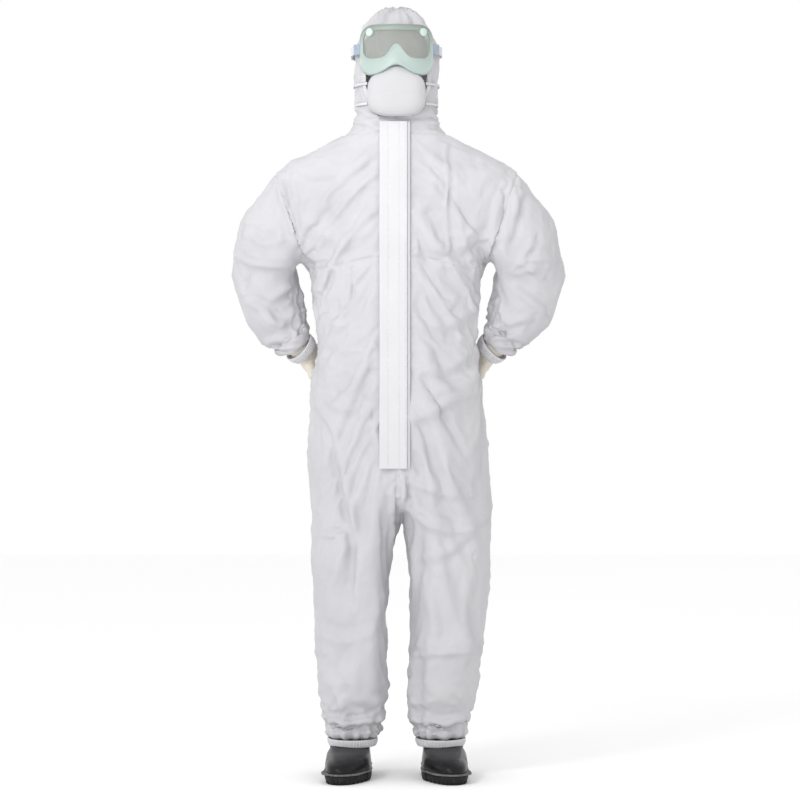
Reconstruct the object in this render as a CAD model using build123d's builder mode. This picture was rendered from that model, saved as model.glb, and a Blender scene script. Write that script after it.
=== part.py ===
"""Hooded chemical protective coverall with goggles, respirator mask, gloves and boots.

The suit stands empty and open inside, in the shape it has when worn with the hands on
the hips. Millimetres; +Z is up, the suit faces -Y, and the wearer's left is +X. The
origin is on the floor, below the middle of the whole suit's outline.
"""

import os
from math import atan2, cos, degrees, pi, radians, sin, sqrt

from build123d import *

os.makedirs("parts", exist_ok=True)

# ---------------------------------------------------------------- driving dimensions
# The suit is drawn around the head's axis with its floor at FLOOR, and PLACE then moves
# every piece so that the origin is on the floor, below the middle of the outline.
FLOOR = 25.0
OUTLINE_MIDDLE_Y = -28.35
PLACE = Location((0, -OUTLINE_MIDDLE_Y, -FLOOR))

WALL = 2.0  # fabric panels
SEAM_GAP = 0.5  # clearance where a panel meets another moving body

FLAP_BOTTOM_Z = 730.0
FLAP_LENGTH = 784.0
FRONT_Y_LOW = -135.0  # centre front at the flap's lower end
FRONT_RISE = 35.0 / 786.0  # the centre front leans back this much per mm of height
COLLAR_TOP_Z = 1520.0
CROTCH_Z = 655.0
CHEST_SEAM_Z = 1197.0
HEM_Z = 92.0

ZIP_HALF_SLOT = 15.0
ZIP_LENGTH = 765.0
ZIP_START = 15.0  # above the flap's lower end

ARM_RAISE = 45.0
ELBOW_OPEN = 50.0


def front_y(z):
    """Y of the centre front, a straight line in the side view."""
    return FRONT_Y_LOW + (z - FLAP_BOTTOM_Z) * FRONT_RISE


def save(built, name):
    """Sets a finished piece over the origin, labels it and writes its STEP file."""
    placed = built.part.moved(PLACE)
    placed.label = name
    export_step(placed, f"parts/{name}.step")


def save_pair(left, name):
    """Writes the left piece and its mirror image, the right one."""
    save(left, f"left_{name}")
    with BuildPart() as right:
        mirror(left.part, about=Plane.YZ)
    save(right, f"right_{name}")


def level(x, y, z):
    """A horizontal sketch plane centred on a tube's axis."""
    return Plane(origin=(x, y, z), x_dir=(1, 0, 0), z_dir=(0, 0, 1))


def ellipse_tube(stations, wall=WALL):
    """A tube of elliptical sections (plane, x radius, y radius), open at both ends."""
    with BuildPart() as tube:
        for plane, rx, ry in stations:
            with BuildSketch(plane):
                Ellipse(rx, ry)
        loft(ruled=True)
        for plane, rx, ry in stations:
            with BuildSketch(plane):
                Ellipse(rx - wall, ry - wall)
        loft(ruled=True, mode=Mode.SUBTRACT)
    return tube


# ---------------------------------------------------------------- torso and legs
# height, half width, half depth; the front of every section lies on the centre front
TORSO = [
    (CROTCH_Z, 203, 116),
    (760, 203, 120),
    (870, 198, 118),
    (985, 189, 112),
    (1100, 193, 118),
    (1200, 204, 124),
    (1225, 209, 124),
    (1250, 228, 124),
    (1300, 280, 122),
    (1350, 312, 118),
    (1385, 316, 110),
    (1412, 285, 98),
    (1440, 222, 84),
    (1465, 165, 75),
    (1487, 116, 71),
    (COLLAR_TOP_Z, 92, 72),
]
# height, centre x, centre y, half width, half depth
LEG = [
    (CROTCH_Z + 1, 99, -18, 95, 104),
    (540, 107, -8, 92, 98),
    (426, 111, 0, 88, 92),
    (312, 107, 5, 84, 88),
    (198, 101, 10, 81, 86),
    (150, 99, 13, 72, 80),
    (HEM_Z + 14, 101, 16, 56, 70),
]
ANKLE = [(HEM_Z + 13.5, 101, 16, 54, 68), (HEM_Z, 101, 17, 52, 66)]

torso_stations = [(level(0, front_y(z) + ry, z), rx, ry) for z, rx, ry in TORSO]
leg_stations = [(level(x, y, z), rx, ry) for z, x, y, rx, ry in LEG]
ankle_stations = [(level(x, y, z), rx, ry) for z, x, y, rx, ry in ANKLE]

torso_tube = ellipse_tube(torso_stations)
leg_tube = ellipse_tube(leg_stations)

# the left half of the seat: a floor across the torso's lower end, open into the leg
SEAT_LIP = 2.0
with BuildPart() as seat:
    with BuildSketch(torso_stations[0][0]):
        Ellipse(torso_stations[0][1] - WALL / 2, torso_stations[0][2] - WALL / 2)
    extrude(amount=WALL)
    with BuildSketch(leg_stations[0][0]):
        Ellipse(leg_stations[0][1] - WALL - SEAT_LIP, leg_stations[0][2] - WALL - SEAT_LIP)
    extrude(amount=WALL * 3, both=True, mode=Mode.SUBTRACT)
    split(bisect_by=Plane.YZ, keep=Keep.TOP)

# ---------------------------------------------------------------- armhole and arm axes
ARMHOLE = Vector(250, -5, 1326)
ARMHOLE_NORMAL = Vector(0.94, 0, -0.342).normalized()
ARMHOLE_UP = Vector(0.342, 0, 0.94).normalized()
ARMHOLE_HALF = 91.0
ELBOW = Vector(308, 60, 1192)
WRIST_END = Vector(222, 57, 1004)
ELBOW_RX = 83.0

upper_line = (ELBOW - ARMHOLE).normalized()
lower_line = (WRIST_END - ELBOW).normalized()
elbow_out = (upper_line - lower_line).normalized()
elbow_normal = (upper_line + lower_line).normalized()

armhole_plane = Plane(origin=ARMHOLE, x_dir=ARMHOLE_UP, z_dir=ARMHOLE_NORMAL)

# everything beyond the armhole is cut off the torso
with BuildPart() as armhole_cut:
    with BuildSketch(armhole_plane):
        Rectangle(2 * ARMHOLE_HALF + 18, 260)
    extrude(amount=110)

# the front frame: local x across, y up along the centre front, z outwards
front_frame = Plane(
    origin=(0, FRONT_Y_LOW, FLAP_BOTTOM_Z),
    x_dir=(1, 0, 0),
    z_dir=(0, -1, FRONT_RISE),
)


def on_front(x, up, depth):
    """A point of the front frame in the row frame."""
    return front_frame.from_local_coords(Vector(x, up, depth))


def front_plane(x, up, depth):
    """A sketch plane parallel to the front frame, centred at that local point."""
    return Plane(origin=on_front(x, up, depth), x_dir=(1, 0, 0), z_dir=front_frame.z_dir)


# the slot for the zip, from just above the flap's lower end to the collar's top
with BuildPart() as zip_slot:
    with BuildSketch(front_plane(0, ZIP_START + (ZIP_LENGTH + 60) / 2, -12)):
        Rectangle(2 * ZIP_HALF_SLOT, ZIP_LENGTH + 60)
    extrude(amount=24)

with BuildPart() as left_body:
    add(torso_tube.part)
    split(bisect_by=Plane.YZ, keep=Keep.TOP)
    add(seat.part)
    add(leg_tube.part)
    add(armhole_cut.part, mode=Mode.SUBTRACT)
    add(zip_slot.part, mode=Mode.SUBTRACT)

side_seam = Plane.XZ  # its top side is the front, towards -Y
chest_seam = Plane.XY.offset(CHEST_SEAM_Z)
collar_seam = Plane.XY.offset(1487)

with BuildPart() as left_front_half:
    add(left_body.part)
    split(bisect_by=side_seam, keep=Keep.TOP)
with BuildPart() as left_back_half:
    add(left_body.part)
    split(bisect_by=side_seam, keep=Keep.BOTTOM)

with BuildPart() as left_front_panel:
    add(left_front_half.part)
    split(bisect_by=chest_seam, keep=Keep.BOTTOM)
with BuildPart() as left_chest_panel:
    add(left_front_half.part)
    split(bisect_by=chest_seam, keep=Keep.TOP)
    split(bisect_by=collar_seam, keep=Keep.BOTTOM)
with BuildPart() as left_back_panel:
    add(left_back_half.part)
    split(bisect_by=chest_seam, keep=Keep.BOTTOM)
with BuildPart() as left_collar:
    add(left_body.part)
    split(bisect_by=collar_seam, keep=Keep.TOP)
with BuildPart() as upper_back_panel:
    add(left_back_half.part)
    split(bisect_by=chest_seam, keep=Keep.TOP)
    split(bisect_by=collar_seam, keep=Keep.BOTTOM)
    mirror(about=Plane.YZ)

save_pair(left_front_panel, "front_panel")
save_pair(left_chest_panel, "chest_panel")
save_pair(left_back_panel, "back_panel")
save_pair(left_collar, "collar")
save(upper_back_panel, "upper_back_panel")

# ankle elastic, a narrow ring that closes the trouser leg on the boot shaft
save_pair(ellipse_tube(ankle_stations, wall=3.0), "ankle_elastic")

# waist elastic, sewn inside the back from side seam to side seam
WAIST_Z, WAIST_RX, WAIST_RY, WAIST_HEIGHT = 975.0, 185.0, 108.0, 24.0
waist_y = front_y(WAIST_Z) + 112
with BuildPart() as waist_elastic:
    with BuildSketch(level(0, waist_y, WAIST_Z)):
        Ellipse(WAIST_RX, WAIST_RY)
        Ellipse(WAIST_RX - 1.6, WAIST_RY - 1.6, mode=Mode.SUBTRACT)
    extrude(amount=WAIST_HEIGHT)
    split(bisect_by=Plane.XZ.offset(-10), keep=Keep.BOTTOM)
save(waist_elastic, "waist_elastic")

# ---------------------------------------------------------------- sleeves and cuffs
middle = ARMHOLE + (ELBOW - ARMHOLE) * 0.48 + Vector(16, -6, 4)
middle_normal = (ARMHOLE_NORMAL * 0.35 + upper_line * 0.65).normalized()


def tilted(origin, normal, toward):
    """A plane at a tube's axis whose x axis points as near to toward as it can."""
    across = toward - normal * toward.dot(normal)
    return Plane(origin=origin, x_dir=across.normalized(), z_dir=normal)


elbow_plane = tilted(ELBOW, elbow_normal, elbow_out)
shoulder_start = Plane(
    origin=ARMHOLE + ARMHOLE_NORMAL * SEAM_GAP, x_dir=ARMHOLE_UP, z_dir=ARMHOLE_NORMAL
)
upper_stations = [
    (shoulder_start, ARMHOLE_HALF, 62),
    (tilted(middle, middle_normal, elbow_out + ARMHOLE_UP), 82, 70),
    (elbow_plane, ELBOW_RX, 75),
]
left_upper_sleeve = ellipse_tube(upper_stations)
save_pair(left_upper_sleeve, "upper_sleeve")

HAND_DIR = Vector(-66, 40, -54).normalized()
cuff_turn = (lower_line * 0.4 + HAND_DIR * 0.6).normalized()
fore_stations = [
    (tilted(ELBOW + elbow_normal * SEAM_GAP, elbow_normal, elbow_out), ELBOW_RX, 75),
    (tilted(Vector(287, 62, 1116), lower_line, elbow_out), 76, 73),
    (tilted(Vector(264, 61, 1060), lower_line, elbow_out), 67, 64),
    (tilted(Vector(242, 58, 1024), cuff_turn, elbow_out), 52, 50),
    (tilted(WRIST_END, HAND_DIR, elbow_out), 38, 36),
]
save_pair(ellipse_tube(fore_stations), "forearm_sleeve")

CUFF_LENGTH = 16.0
cuff_stations = [
    (tilted(WRIST_END, HAND_DIR, elbow_out), 36, 34),
    (tilted(WRIST_END + HAND_DIR * CUFF_LENGTH, HAND_DIR, elbow_out), 34.5, 32.5),
]
save_pair(ellipse_tube(cuff_stations, wall=3.0), "cuff_elastic")

# ---------------------------------------------------------------- gloves
HAND_OUT = tilted(WRIST_END, HAND_DIR, Vector(0.64, 0.77, 0.0)).x_dir
HAND_ACROSS = HAND_OUT.cross(HAND_DIR).normalized()
FINGER_DIR = Vector(-0.84, 0.34, -0.40).normalized()
PALM = [(-26, 27.5, 26), (14, 28, 25), (40, 36, 17), (78, 43, 15), (98, 41, 12.5)]
FINGERS = [(-30, 58, 9.0), (-10, 76, 9.5), (10, 80, 9.5), (29, 66, 9.0)]
THUMB_START, THUMB_DIR, THUMB_LENGTH = Vector(200, 66, 975), Vector(-0.15, -0.55, -0.82), 42


def hand(shrink):
    """A hand on the hip, all its radii less by shrink."""
    digits = [
        (WRIST_END + HAND_DIR * 88 + HAND_ACROSS * across, FINGER_DIR, length, radius)
        for across, length, radius in FINGERS
    ]
    digits.append((THUMB_START, THUMB_DIR.normalized(), THUMB_LENGTH, 11))
    with BuildPart() as form:
        for along, across, thick in PALM:
            plane = Plane(
                origin=WRIST_END + HAND_DIR * along, x_dir=HAND_ACROSS, z_dir=HAND_DIR
            )
            with BuildSketch(plane):
                Ellipse(across - shrink, thick - shrink)
        loft(ruled=True)
        for start, direction, length, radius in digits:
            with BuildSketch(Plane(origin=start, z_dir=direction)):
                Circle(radius - shrink)
            extrude(amount=length)
            with Locations(start + direction * length):
                Sphere(radius - shrink)
    return form


with BuildPart() as left_glove:
    add(hand(0).part)
    add(hand(1.2).part, mode=Mode.SUBTRACT)
save_pair(left_glove, "glove")

# ---------------------------------------------------------------- hood
# height, half width, half depth, centre y
HOOD = [
    (COLLAR_TOP_Z + SEAM_GAP, 92, 72, front_y(COLLAR_TOP_Z) + 72),
    (1560, 91, 88, -12),
    (1603, 95, 105, -4),
    (1657, 99, 114, 0),
    (1700, 94, 111, 0),
    (1732, 76, 93, 2),
    (1758, 54, 68, 4),
    (1774, 32, 42, 5),
    (1781, 12, 18, 5),
    (1783, 8, 12, 5),
]
FACE_CENTRE_Z, FACE_WIDTH, FACE_HEIGHT, FACE_RADIUS = 1641.0, 140.0, 162.0, 40.0
FACE_HEM = 7.0
CROWN_HALF_WIDTH = 38.0

with BuildPart() as hood_shell:
    for z, rx, ry, y in HOOD:
        with BuildSketch(level(0, y, z)):
            Ellipse(rx, ry)
    loft(ruled=True)
    for z, rx, ry, y in HOOD[:-1]:
        with BuildSketch(level(0, y, z)):
            Ellipse(rx - WALL, ry - WALL)
    loft(ruled=True, mode=Mode.SUBTRACT)


def face_prism(margin):
    """The face opening's outline, grown by margin, swept along -Y through the front."""
    with BuildPart() as prism:
        forward = Plane(origin=(0, 0, FACE_CENTRE_Z), x_dir=(1, 0, 0), z_dir=(0, -1, 0))
        with BuildSketch(forward):
            RectangleRounded(
                FACE_WIDTH + 2 * margin, FACE_HEIGHT + 2 * margin, FACE_RADIUS + margin
            )
        extrude(amount=200)
    return prism


with BuildPart() as hood_fabric:
    add(hood_shell.part)
    add(face_prism(FACE_HEM).part, mode=Mode.SUBTRACT)
with BuildPart() as face_elastic:
    add(hood_shell.part)
    add(face_prism(FACE_HEM).part, mode=Mode.INTERSECT)
    add(face_prism(0).part, mode=Mode.SUBTRACT)
save(face_elastic, "face_elastic")

with BuildPart() as left_hood_panel:
    add(hood_fabric.part)
    split(bisect_by=Plane.YZ.offset(CROWN_HALF_WIDTH), keep=Keep.TOP)
save_pair(left_hood_panel, "hood_panel")
with BuildPart() as hood_crown_panel:
    add(hood_fabric.part)
    split(bisect_by=Plane.YZ.offset(CROWN_HALF_WIDTH), keep=Keep.BOTTOM)
    split(bisect_by=Plane.YZ.offset(-CROWN_HALF_WIDTH), keep=Keep.TOP)
    with BuildSketch(level(0, -100, COLLAR_TOP_Z)):
        Rectangle(4 * CROWN_HALF_WIDTH, 80)
    extrude(amount=FACE_CENTRE_Z - COLLAR_TOP_Z, mode=Mode.SUBTRACT)
save(hood_crown_panel, "hood_crown_panel")
with BuildPart() as chin_panel:
    add(hood_fabric.part)
    split(bisect_by=Plane.YZ.offset(CROWN_HALF_WIDTH), keep=Keep.BOTTOM)
    split(bisect_by=Plane.YZ.offset(-CROWN_HALF_WIDTH), keep=Keep.TOP)
    split(bisect_by=Plane.XZ.offset(60), keep=Keep.TOP)
    split(bisect_by=Plane.XY.offset(FACE_CENTRE_Z), keep=Keep.BOTTOM)
save(chin_panel, "chin_panel")

# ---------------------------------------------------------------- zip
TAPE_THICK, TAPE_DEPTH = 0.8, -1.6
COIL_INNER, COIL_OUTER, COIL_DEPTH = 1.3, 4.2, 2.4
SLIDER_LENGTH, SLIDER_HALF, SLIDER_PLATE = 14.0, 6.2, 1.4
STOP_LENGTH = 4.0
PULL_PIN_DEPTH, PULL_LENGTH, PULL_HALF, PULL_THICK = 3.6, 24.0, 3.5, 1.3
slider_start = ZIP_START + ZIP_LENGTH - STOP_LENGTH - 1.0 - SLIDER_LENGTH
ZIP_TRAVEL = slider_start - ZIP_START - STOP_LENGTH - 1.0


def front_rectangle(left, right, bottom, top):
    """The corner-to-corner rectangle of a sketch on the centre front's own plane."""
    with BuildSketch(mode=Mode.PRIVATE) as outline:
        with Locations(((left + right) / 2, (bottom + top) / 2)):
            Rectangle(right - left, top - bottom)
    return outline.sketch


def front_block(left, right, bottom, top, low, high):
    """A block on the centre front: x, height above the flap's end, depth outwards."""
    with BuildPart() as block:
        with BuildSketch(front_plane(0, 0, low)):
            add(front_rectangle(left, right, bottom, top))
        extrude(amount=high - low)
    return block


zip_top = ZIP_START + ZIP_LENGTH
left_zip_tape = front_block(
    COIL_INNER + 1.4, ZIP_HALF_SLOT, ZIP_START, zip_top, TAPE_DEPTH, TAPE_DEPTH + TAPE_THICK
)
with BuildPart() as left_zip_coil:
    add(front_block(COIL_INNER, COIL_OUTER, ZIP_START, zip_top, -COIL_DEPTH, 0).part)
    add(left_zip_tape.part, mode=Mode.SUBTRACT)
save_pair(left_zip_tape, "zip_tape")
save_pair(left_zip_coil, "zip_coil")

# the stops grip the coils and fill the gap between them
with BuildPart() as zip_bottom_stop:
    add(front_block(-5.4, 5.4, ZIP_START, ZIP_START + STOP_LENGTH, 0, 0.9).part)
    add(front_block(-1.3, 1.3, ZIP_START, ZIP_START + STOP_LENGTH, -COIL_DEPTH, 0.1).part)
save(zip_bottom_stop, "zip_bottom_stop")
with BuildPart() as zip_top_stops:
    add(front_block(1.6, 5.0, zip_top - STOP_LENGTH, zip_top, 0, 0.9).part)
    mirror(about=Plane.YZ)
save(zip_top_stops, "zip_top_stops")

# the slider: two plates around the coils, joined by a post that runs between them
slider_end = slider_start + SLIDER_LENGTH
pin_up = slider_end - 4.0
with BuildPart() as zip_slider:
    for low, high in ((0.4, 0.4 + SLIDER_PLATE), (-0.4 - COIL_DEPTH - SLIDER_PLATE, -0.4 - COIL_DEPTH)):
        add(front_block(-SLIDER_HALF, SLIDER_HALF, slider_start, slider_end, low, high).part)
    for side in (-1, 1):
        inner, outer = sorted((side * 5.0, side * SLIDER_HALF))
        add(front_block(inner, outer, slider_start, slider_end, -0.35, 0.5).part)
        add(front_block(inner, outer, slider_start, slider_end, -3.0, -2.05).part)
    add(front_block(-0.8, 0.8, slider_end - 4, slider_end, -3.0, 0.5).part)
    # two ears that carry the pull tab's pin
    for side in (-1, 1):
        inner, outer = sorted((side * 2.6, side * 3.8))
        add(front_block(inner, outer, pin_up - 2.0, pin_up + 2.0, 1.7, PULL_PIN_DEPTH + 1.0).part)
    with BuildSketch(Plane(origin=on_front(-3.8, pin_up, PULL_PIN_DEPTH), z_dir=(1, 0, 0))):
        Circle(0.6)
    extrude(amount=7.6)
save(zip_slider, "zip_slider")

with BuildPart() as zip_pull:
    with BuildSketch(Plane(origin=on_front(-2.1, pin_up, PULL_PIN_DEPTH), z_dir=(1, 0, 0))):
        Circle(1.5)
        Circle(1.0, mode=Mode.SUBTRACT)
    extrude(amount=4.2)
    with BuildSketch(front_plane(0, 0, PULL_PIN_DEPTH - PULL_THICK / 2)):
        add(front_rectangle(-2.1, 2.1, pin_up - 5, pin_up - 1.2))
        with Locations((0, pin_up - 4 - PULL_LENGTH / 2)):
            RectangleRounded(2 * PULL_HALF, PULL_LENGTH, 3.0)
        with Locations((0, pin_up - PULL_LENGTH + 1)):
            SlotOverall(9, 3, rotation=90, mode=Mode.SUBTRACT)
    extrude(amount=PULL_THICK)
save(zip_pull, "zip_pull")

# ---------------------------------------------------------------- storm flap
FLAP_FREE_X, FLAP_HINGE_X = -38.0, 24.0
FLAP_INNER, FLAP_THICK = 6.2, 1.6
storm_flap = front_block(
    FLAP_FREE_X, FLAP_HINGE_X, 0, FLAP_LENGTH, FLAP_INNER, FLAP_INNER + FLAP_THICK
)
save(storm_flap, "storm_flap")
save(
    front_block(FLAP_FREE_X + 2, FLAP_FREE_X + 14, 8, FLAP_LENGTH - 8, FLAP_INNER - 0.4, FLAP_INNER),
    "flap_adhesive_tape",
)
# the flap's sewn edge, which stays on the left chest
save(
    front_block(FLAP_HINGE_X + 0.8, FLAP_HINGE_X + 6, 0, FLAP_LENGTH, 0.1, FLAP_INNER - 0.6),
    "flap_seam",
)

# ---------------------------------------------------------------- goggles
GOGGLE_TOP, GOGGLE_BOTTOM, GOGGLE_HALF = 1728.0, 1617.0, 83.0
GOGGLE_INNER, GOGGLE_OUTER, LENS_OUTER = (102.5, 117.5), (118.0, 147.0), (115.5, 144.5)
LENS_THICK = 1.8
ARCH_CENTRE_Z, ARCH_HALF_WIDTH, ARCH_HEIGHT = 1600.0, 48.0, 37.0
WINDOW_TOP, WINDOW_BOTTOM, WINDOW_HALF = 1713.0, 1652.0, 74.0
WINDOW_ARCH_CENTRE_Z, WINDOW_ARCH_HALF, WINDOW_ARCH_HEIGHT = 1636.0, 40.0, 50.0


def goggle_outline(half, top, bottom, corner, arch_z, arch_half, arch_height):
    """A goggle's front outline: a rounded rectangle with an arch over the nose."""
    with BuildSketch(mode=Mode.PRIVATE) as outline:
        with Locations((0, (top + bottom) / 2)):
            RectangleRounded(2 * half, top - bottom, corner)
        with Locations((0, arch_z)):
            Ellipse(arch_half, arch_height, mode=Mode.SUBTRACT)
    return outline.sketch


frame_outline = goggle_outline(
    GOGGLE_HALF, GOGGLE_TOP, GOGGLE_BOTTOM, 30, ARCH_CENTRE_Z, ARCH_HALF_WIDTH, ARCH_HEIGHT
)
window_outline = goggle_outline(
    WINDOW_HALF, WINDOW_TOP, WINDOW_BOTTOM, 22,
    WINDOW_ARCH_CENTRE_Z, WINDOW_ARCH_HALF, WINDOW_ARCH_HEIGHT,
)
lens_outline = goggle_outline(
    WINDOW_HALF + 4, WINDOW_TOP + 4, WINDOW_BOTTOM - 4, 26,
    WINDOW_ARCH_CENTRE_Z - 4, WINDOW_ARCH_HALF - 4, WINDOW_ARCH_HEIGHT,
)
face_front = Plane(origin=(0, 0, 0), x_dir=(1, 0, 0), z_dir=(0, -1, 0))


def band(outer, inner, bottom, top, y=0.0):
    """An upright elliptical band around the head, both ends level."""
    with BuildPart() as ring:
        with BuildSketch(level(0, y, bottom)):
            Ellipse(*outer)
            Ellipse(*inner, mode=Mode.SUBTRACT)
        extrude(amount=top - bottom)
    return ring


lens_inner = tuple(radius - LENS_THICK for radius in LENS_OUTER)
with BuildPart() as goggle_lens:
    add(band(LENS_OUTER, lens_inner, GOGGLE_BOTTOM, GOGGLE_TOP).part)
    with BuildSketch(face_front):
        add(lens_outline)
    extrude(amount=200, mode=Mode.INTERSECT)
save(goggle_lens, "goggle_lens")
with BuildPart() as goggle_frame:
    add(band(GOGGLE_OUTER, GOGGLE_INNER, GOGGLE_BOTTOM - 1, GOGGLE_TOP + 1).part)
    with BuildSketch(face_front):
        add(frame_outline)
        add(window_outline, mode=Mode.SUBTRACT)
    extrude(amount=200, mode=Mode.INTERSECT)
    add(goggle_lens.part, mode=Mode.SUBTRACT)
save(goggle_frame, "goggle_frame")

VENT_X, VENT_Z, VENT_RADIUS, VENT_DEPTH, VENT_SEAT = 60.0, 1711.0, 9.0, 4.0, 2.0
vent_y = -GOGGLE_OUTER[1] * sqrt(1 - (VENT_X / GOGGLE_OUTER[0]) ** 2)
with BuildPart() as goggle_vent_caps:
    for side in (-1, 1):
        outward = Vector(
            side * VENT_X / GOGGLE_OUTER[0] ** 2, vent_y / GOGGLE_OUTER[1] ** 2, 0
        ).normalized()
        seat = Vector(side * VENT_X, vent_y, VENT_Z) - outward * VENT_SEAT
        with BuildSketch(Plane(origin=seat, z_dir=outward)):
            Circle(VENT_RADIUS)
        extrude(amount=VENT_SEAT + VENT_DEPTH)
    add(goggle_frame.part, mode=Mode.SUBTRACT)
    add(goggle_lens.part, mode=Mode.SUBTRACT)
save(goggle_vent_caps, "goggle_vent_caps")

STRAP_LOW, STRAP_HIGH, STRAP_FRONT_Y = 1668.0, 1688.0, -56.0
STRAP_INNER, STRAP_OUTER = (103.0, 118.2), (104.5, 119.7)
with BuildPart() as goggle_strap_clips:
    add(band((109, 125), STRAP_INNER, STRAP_LOW - 2, STRAP_HIGH + 2).part)
    with BuildSketch(level(0, 0, STRAP_LOW - 3)):
        for side in (-1, 1):
            with Locations((side * 98, (-82 + STRAP_FRONT_Y - 0.6) / 2)):
                Rectangle(29.2, 82 + STRAP_FRONT_Y - 0.6)
    extrude(amount=40, mode=Mode.INTERSECT)
    add(goggle_frame.part, mode=Mode.SUBTRACT)
save(goggle_strap_clips, "goggle_strap_clips")
with BuildPart() as goggle_strap:
    add(band(STRAP_OUTER, STRAP_INNER, STRAP_LOW, STRAP_HIGH).part)
    split(bisect_by=Plane.XZ.offset(-STRAP_FRONT_Y), keep=Keep.BOTTOM)
save(goggle_strap, "goggle_strap")
with BuildPart() as strap_buckle:
    with BuildSketch(level(-100, 42, STRAP_LOW - 3)):
        Rectangle(20, 26)
    extrude(amount=STRAP_HIGH - STRAP_LOW + 6)
    add(band((107, 122.2), (101.6, 116.6), STRAP_LOW - 4, STRAP_HIGH + 4).part, mode=Mode.INTERSECT)
    add(goggle_strap.part, mode=Mode.SUBTRACT)
save(strap_buckle, "strap_buckle")

# ---------------------------------------------------------------- mask
MASK_Z = 1575.0
MASK = [(-78, 66, 53), (-104, 63, 51), (-124, 53, 44), (-138, 37, 32), (-145, 16, 14)]
MASK_WALL = 2.0
FACE_CURVE, FACE_CURVE_Y = (94.5, 88.0), -14.0


def upright(y):
    """A sketch plane across the mask, facing forwards, at that y."""
    return Plane(origin=(0, y, MASK_Z), x_dir=(1, 0, 0), z_dir=(0, -1, 0))


with BuildPart() as mask_shell:
    for y, rx, rz in MASK:
        with BuildSketch(upright(y)):
            Ellipse(rx, rz)
    loft(ruled=True)
    for y, rx, rz in MASK[:-1]:
        with BuildSketch(upright(y)):
            Ellipse(rx - MASK_WALL, rz - MASK_WALL)
    loft(ruled=True, mode=Mode.SUBTRACT)
    with BuildSketch(level(0, FACE_CURVE_Y, MASK_Z)):
        Ellipse(*FACE_CURVE)
    extrude(amount=80, both=True, mode=Mode.SUBTRACT)
save(mask_shell, "mask_shell")


def mask_arc(y, length, outer, inner, half):
    """A strip across the nose: the upper part of an elliptical ring."""
    with BuildPart() as arc:
        with BuildSketch(upright(y)):
            Ellipse(*outer)
            Ellipse(*inner, mode=Mode.SUBTRACT)
            with Locations((0, 40)):
                Rectangle(2 * half, 40, mode=Mode.INTERSECT)
        extrude(amount=length)
    return arc


save(mask_arc(-116, 5, (58.2, 48), (57.2, 47), 28), "mask_nose_clip")
save(mask_arc(-100, 8, (58.6, 47.2), (54, 43), 26), "mask_nose_foam")

UPPER_STRAP_Z, LOWER_STRAP_Z, MASK_STRAP_WIDTH = 1597.0, 1552.0, 6.0
STRAP_START_X = 66.0


def mask_strap(z, inner, y):
    """An elastic round the back of the hood, open where the mask is."""
    outer = tuple(radius + 1.2 for radius in inner)
    with BuildPart() as strap:
        add(band(outer, inner, z, z + MASK_STRAP_WIDTH, y).part)
        with BuildSketch(level(0, -150, z - 1)):
            Rectangle(2 * STRAP_START_X, 300)
        extrude(amount=MASK_STRAP_WIDTH + 2, mode=Mode.SUBTRACT)
    return strap


save(mask_strap(UPPER_STRAP_Z, (97.5, 108), -4), "mask_upper_strap")
save(mask_strap(LOWER_STRAP_Z, (94.5, 92), -12), "mask_lower_strap")
with BuildPart() as mask_staples:
    for z in (UPPER_STRAP_Z + 3, LOWER_STRAP_Z + 3):
        for side in (-1, 1):
            with BuildSketch(level(side * 61.6, -91, z - 2)):
                Rectangle(1, 6)
            extrude(amount=4)
save(mask_staples, "mask_staples")

# ---------------------------------------------------------------- boots
BOOT_X, TOE_OUT = 105.0, 7.0
SOLE_HEIGHT, WELT_HEIGHT = 20.0, 4.0
INSOLE_THICK, BOOT_WALL = 4.0, 2.5
# height above the floor, width, length, centre y in the boot's own frame
BOOT = [
    (SOLE_HEIGHT + WELT_HEIGHT, 100, 276, -62),
    (46, 98, 256, -55),
    (58, 94, 206, -34),
    (66, 84, 108, 7),
    (135, 82, 104, 7),
]


def boot_plane(z, y=0.0):
    """A level sketch plane in the left boot, turned with its toe outwards."""
    across = Vector(1, 0, 0).rotate(Axis.Z, TOE_OUT)
    frame = Plane(origin=(BOOT_X, 10, FLOOR), x_dir=across, z_dir=(0, 0, 1))
    return Plane(origin=frame.from_local_coords(Vector(0, y, z)), x_dir=frame.x_dir, z_dir=(0, 0, 1))


def boot_slab(bottom, height, width, length, y):
    """A level slab with the sole's rounded outline."""
    with BuildPart() as slab:
        with BuildSketch(boot_plane(bottom, y)):
            RectangleRounded(width, length, width / 2 - 0.5)
        extrude(amount=height)
    return slab


with BuildPart() as left_boot_sole:
    add(boot_slab(0, SOLE_HEIGHT, 104, 280, -62).part)
    for i in range(10):
        if i in (6, 7):
            continue
        with BuildSketch(boot_plane(0, -180 + 26 * i)):
            Rectangle(110, 6)
        extrude(amount=4, mode=Mode.SUBTRACT)
    with BuildSketch(boot_plane(0, -11)):
        Rectangle(110, 46)
    extrude(amount=6, mode=Mode.SUBTRACT)
save_pair(left_boot_sole, "boot_sole")
with BuildPart() as left_boot_welt:
    add(boot_slab(SOLE_HEIGHT, WELT_HEIGHT, 109, 285, -62).part)
    add(boot_slab(SOLE_HEIGHT - 1, WELT_HEIGHT + 2, 92, 268, -62).part, mode=Mode.SUBTRACT)
save_pair(left_boot_welt, "boot_welt")
with BuildPart() as left_boot_upper:
    for z, width, length, y in BOOT:
        with BuildSketch(boot_plane(z, y)):
            RectangleRounded(width, length, width / 2 - 0.5)
    loft(ruled=True)
    for z, width, length, y in BOOT:
        with BuildSketch(boot_plane(z, y)):
            RectangleRounded(width - 2 * BOOT_WALL, length - 2 * BOOT_WALL, width / 2 - BOOT_WALL - 0.5)
    loft(ruled=True, mode=Mode.SUBTRACT)
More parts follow.
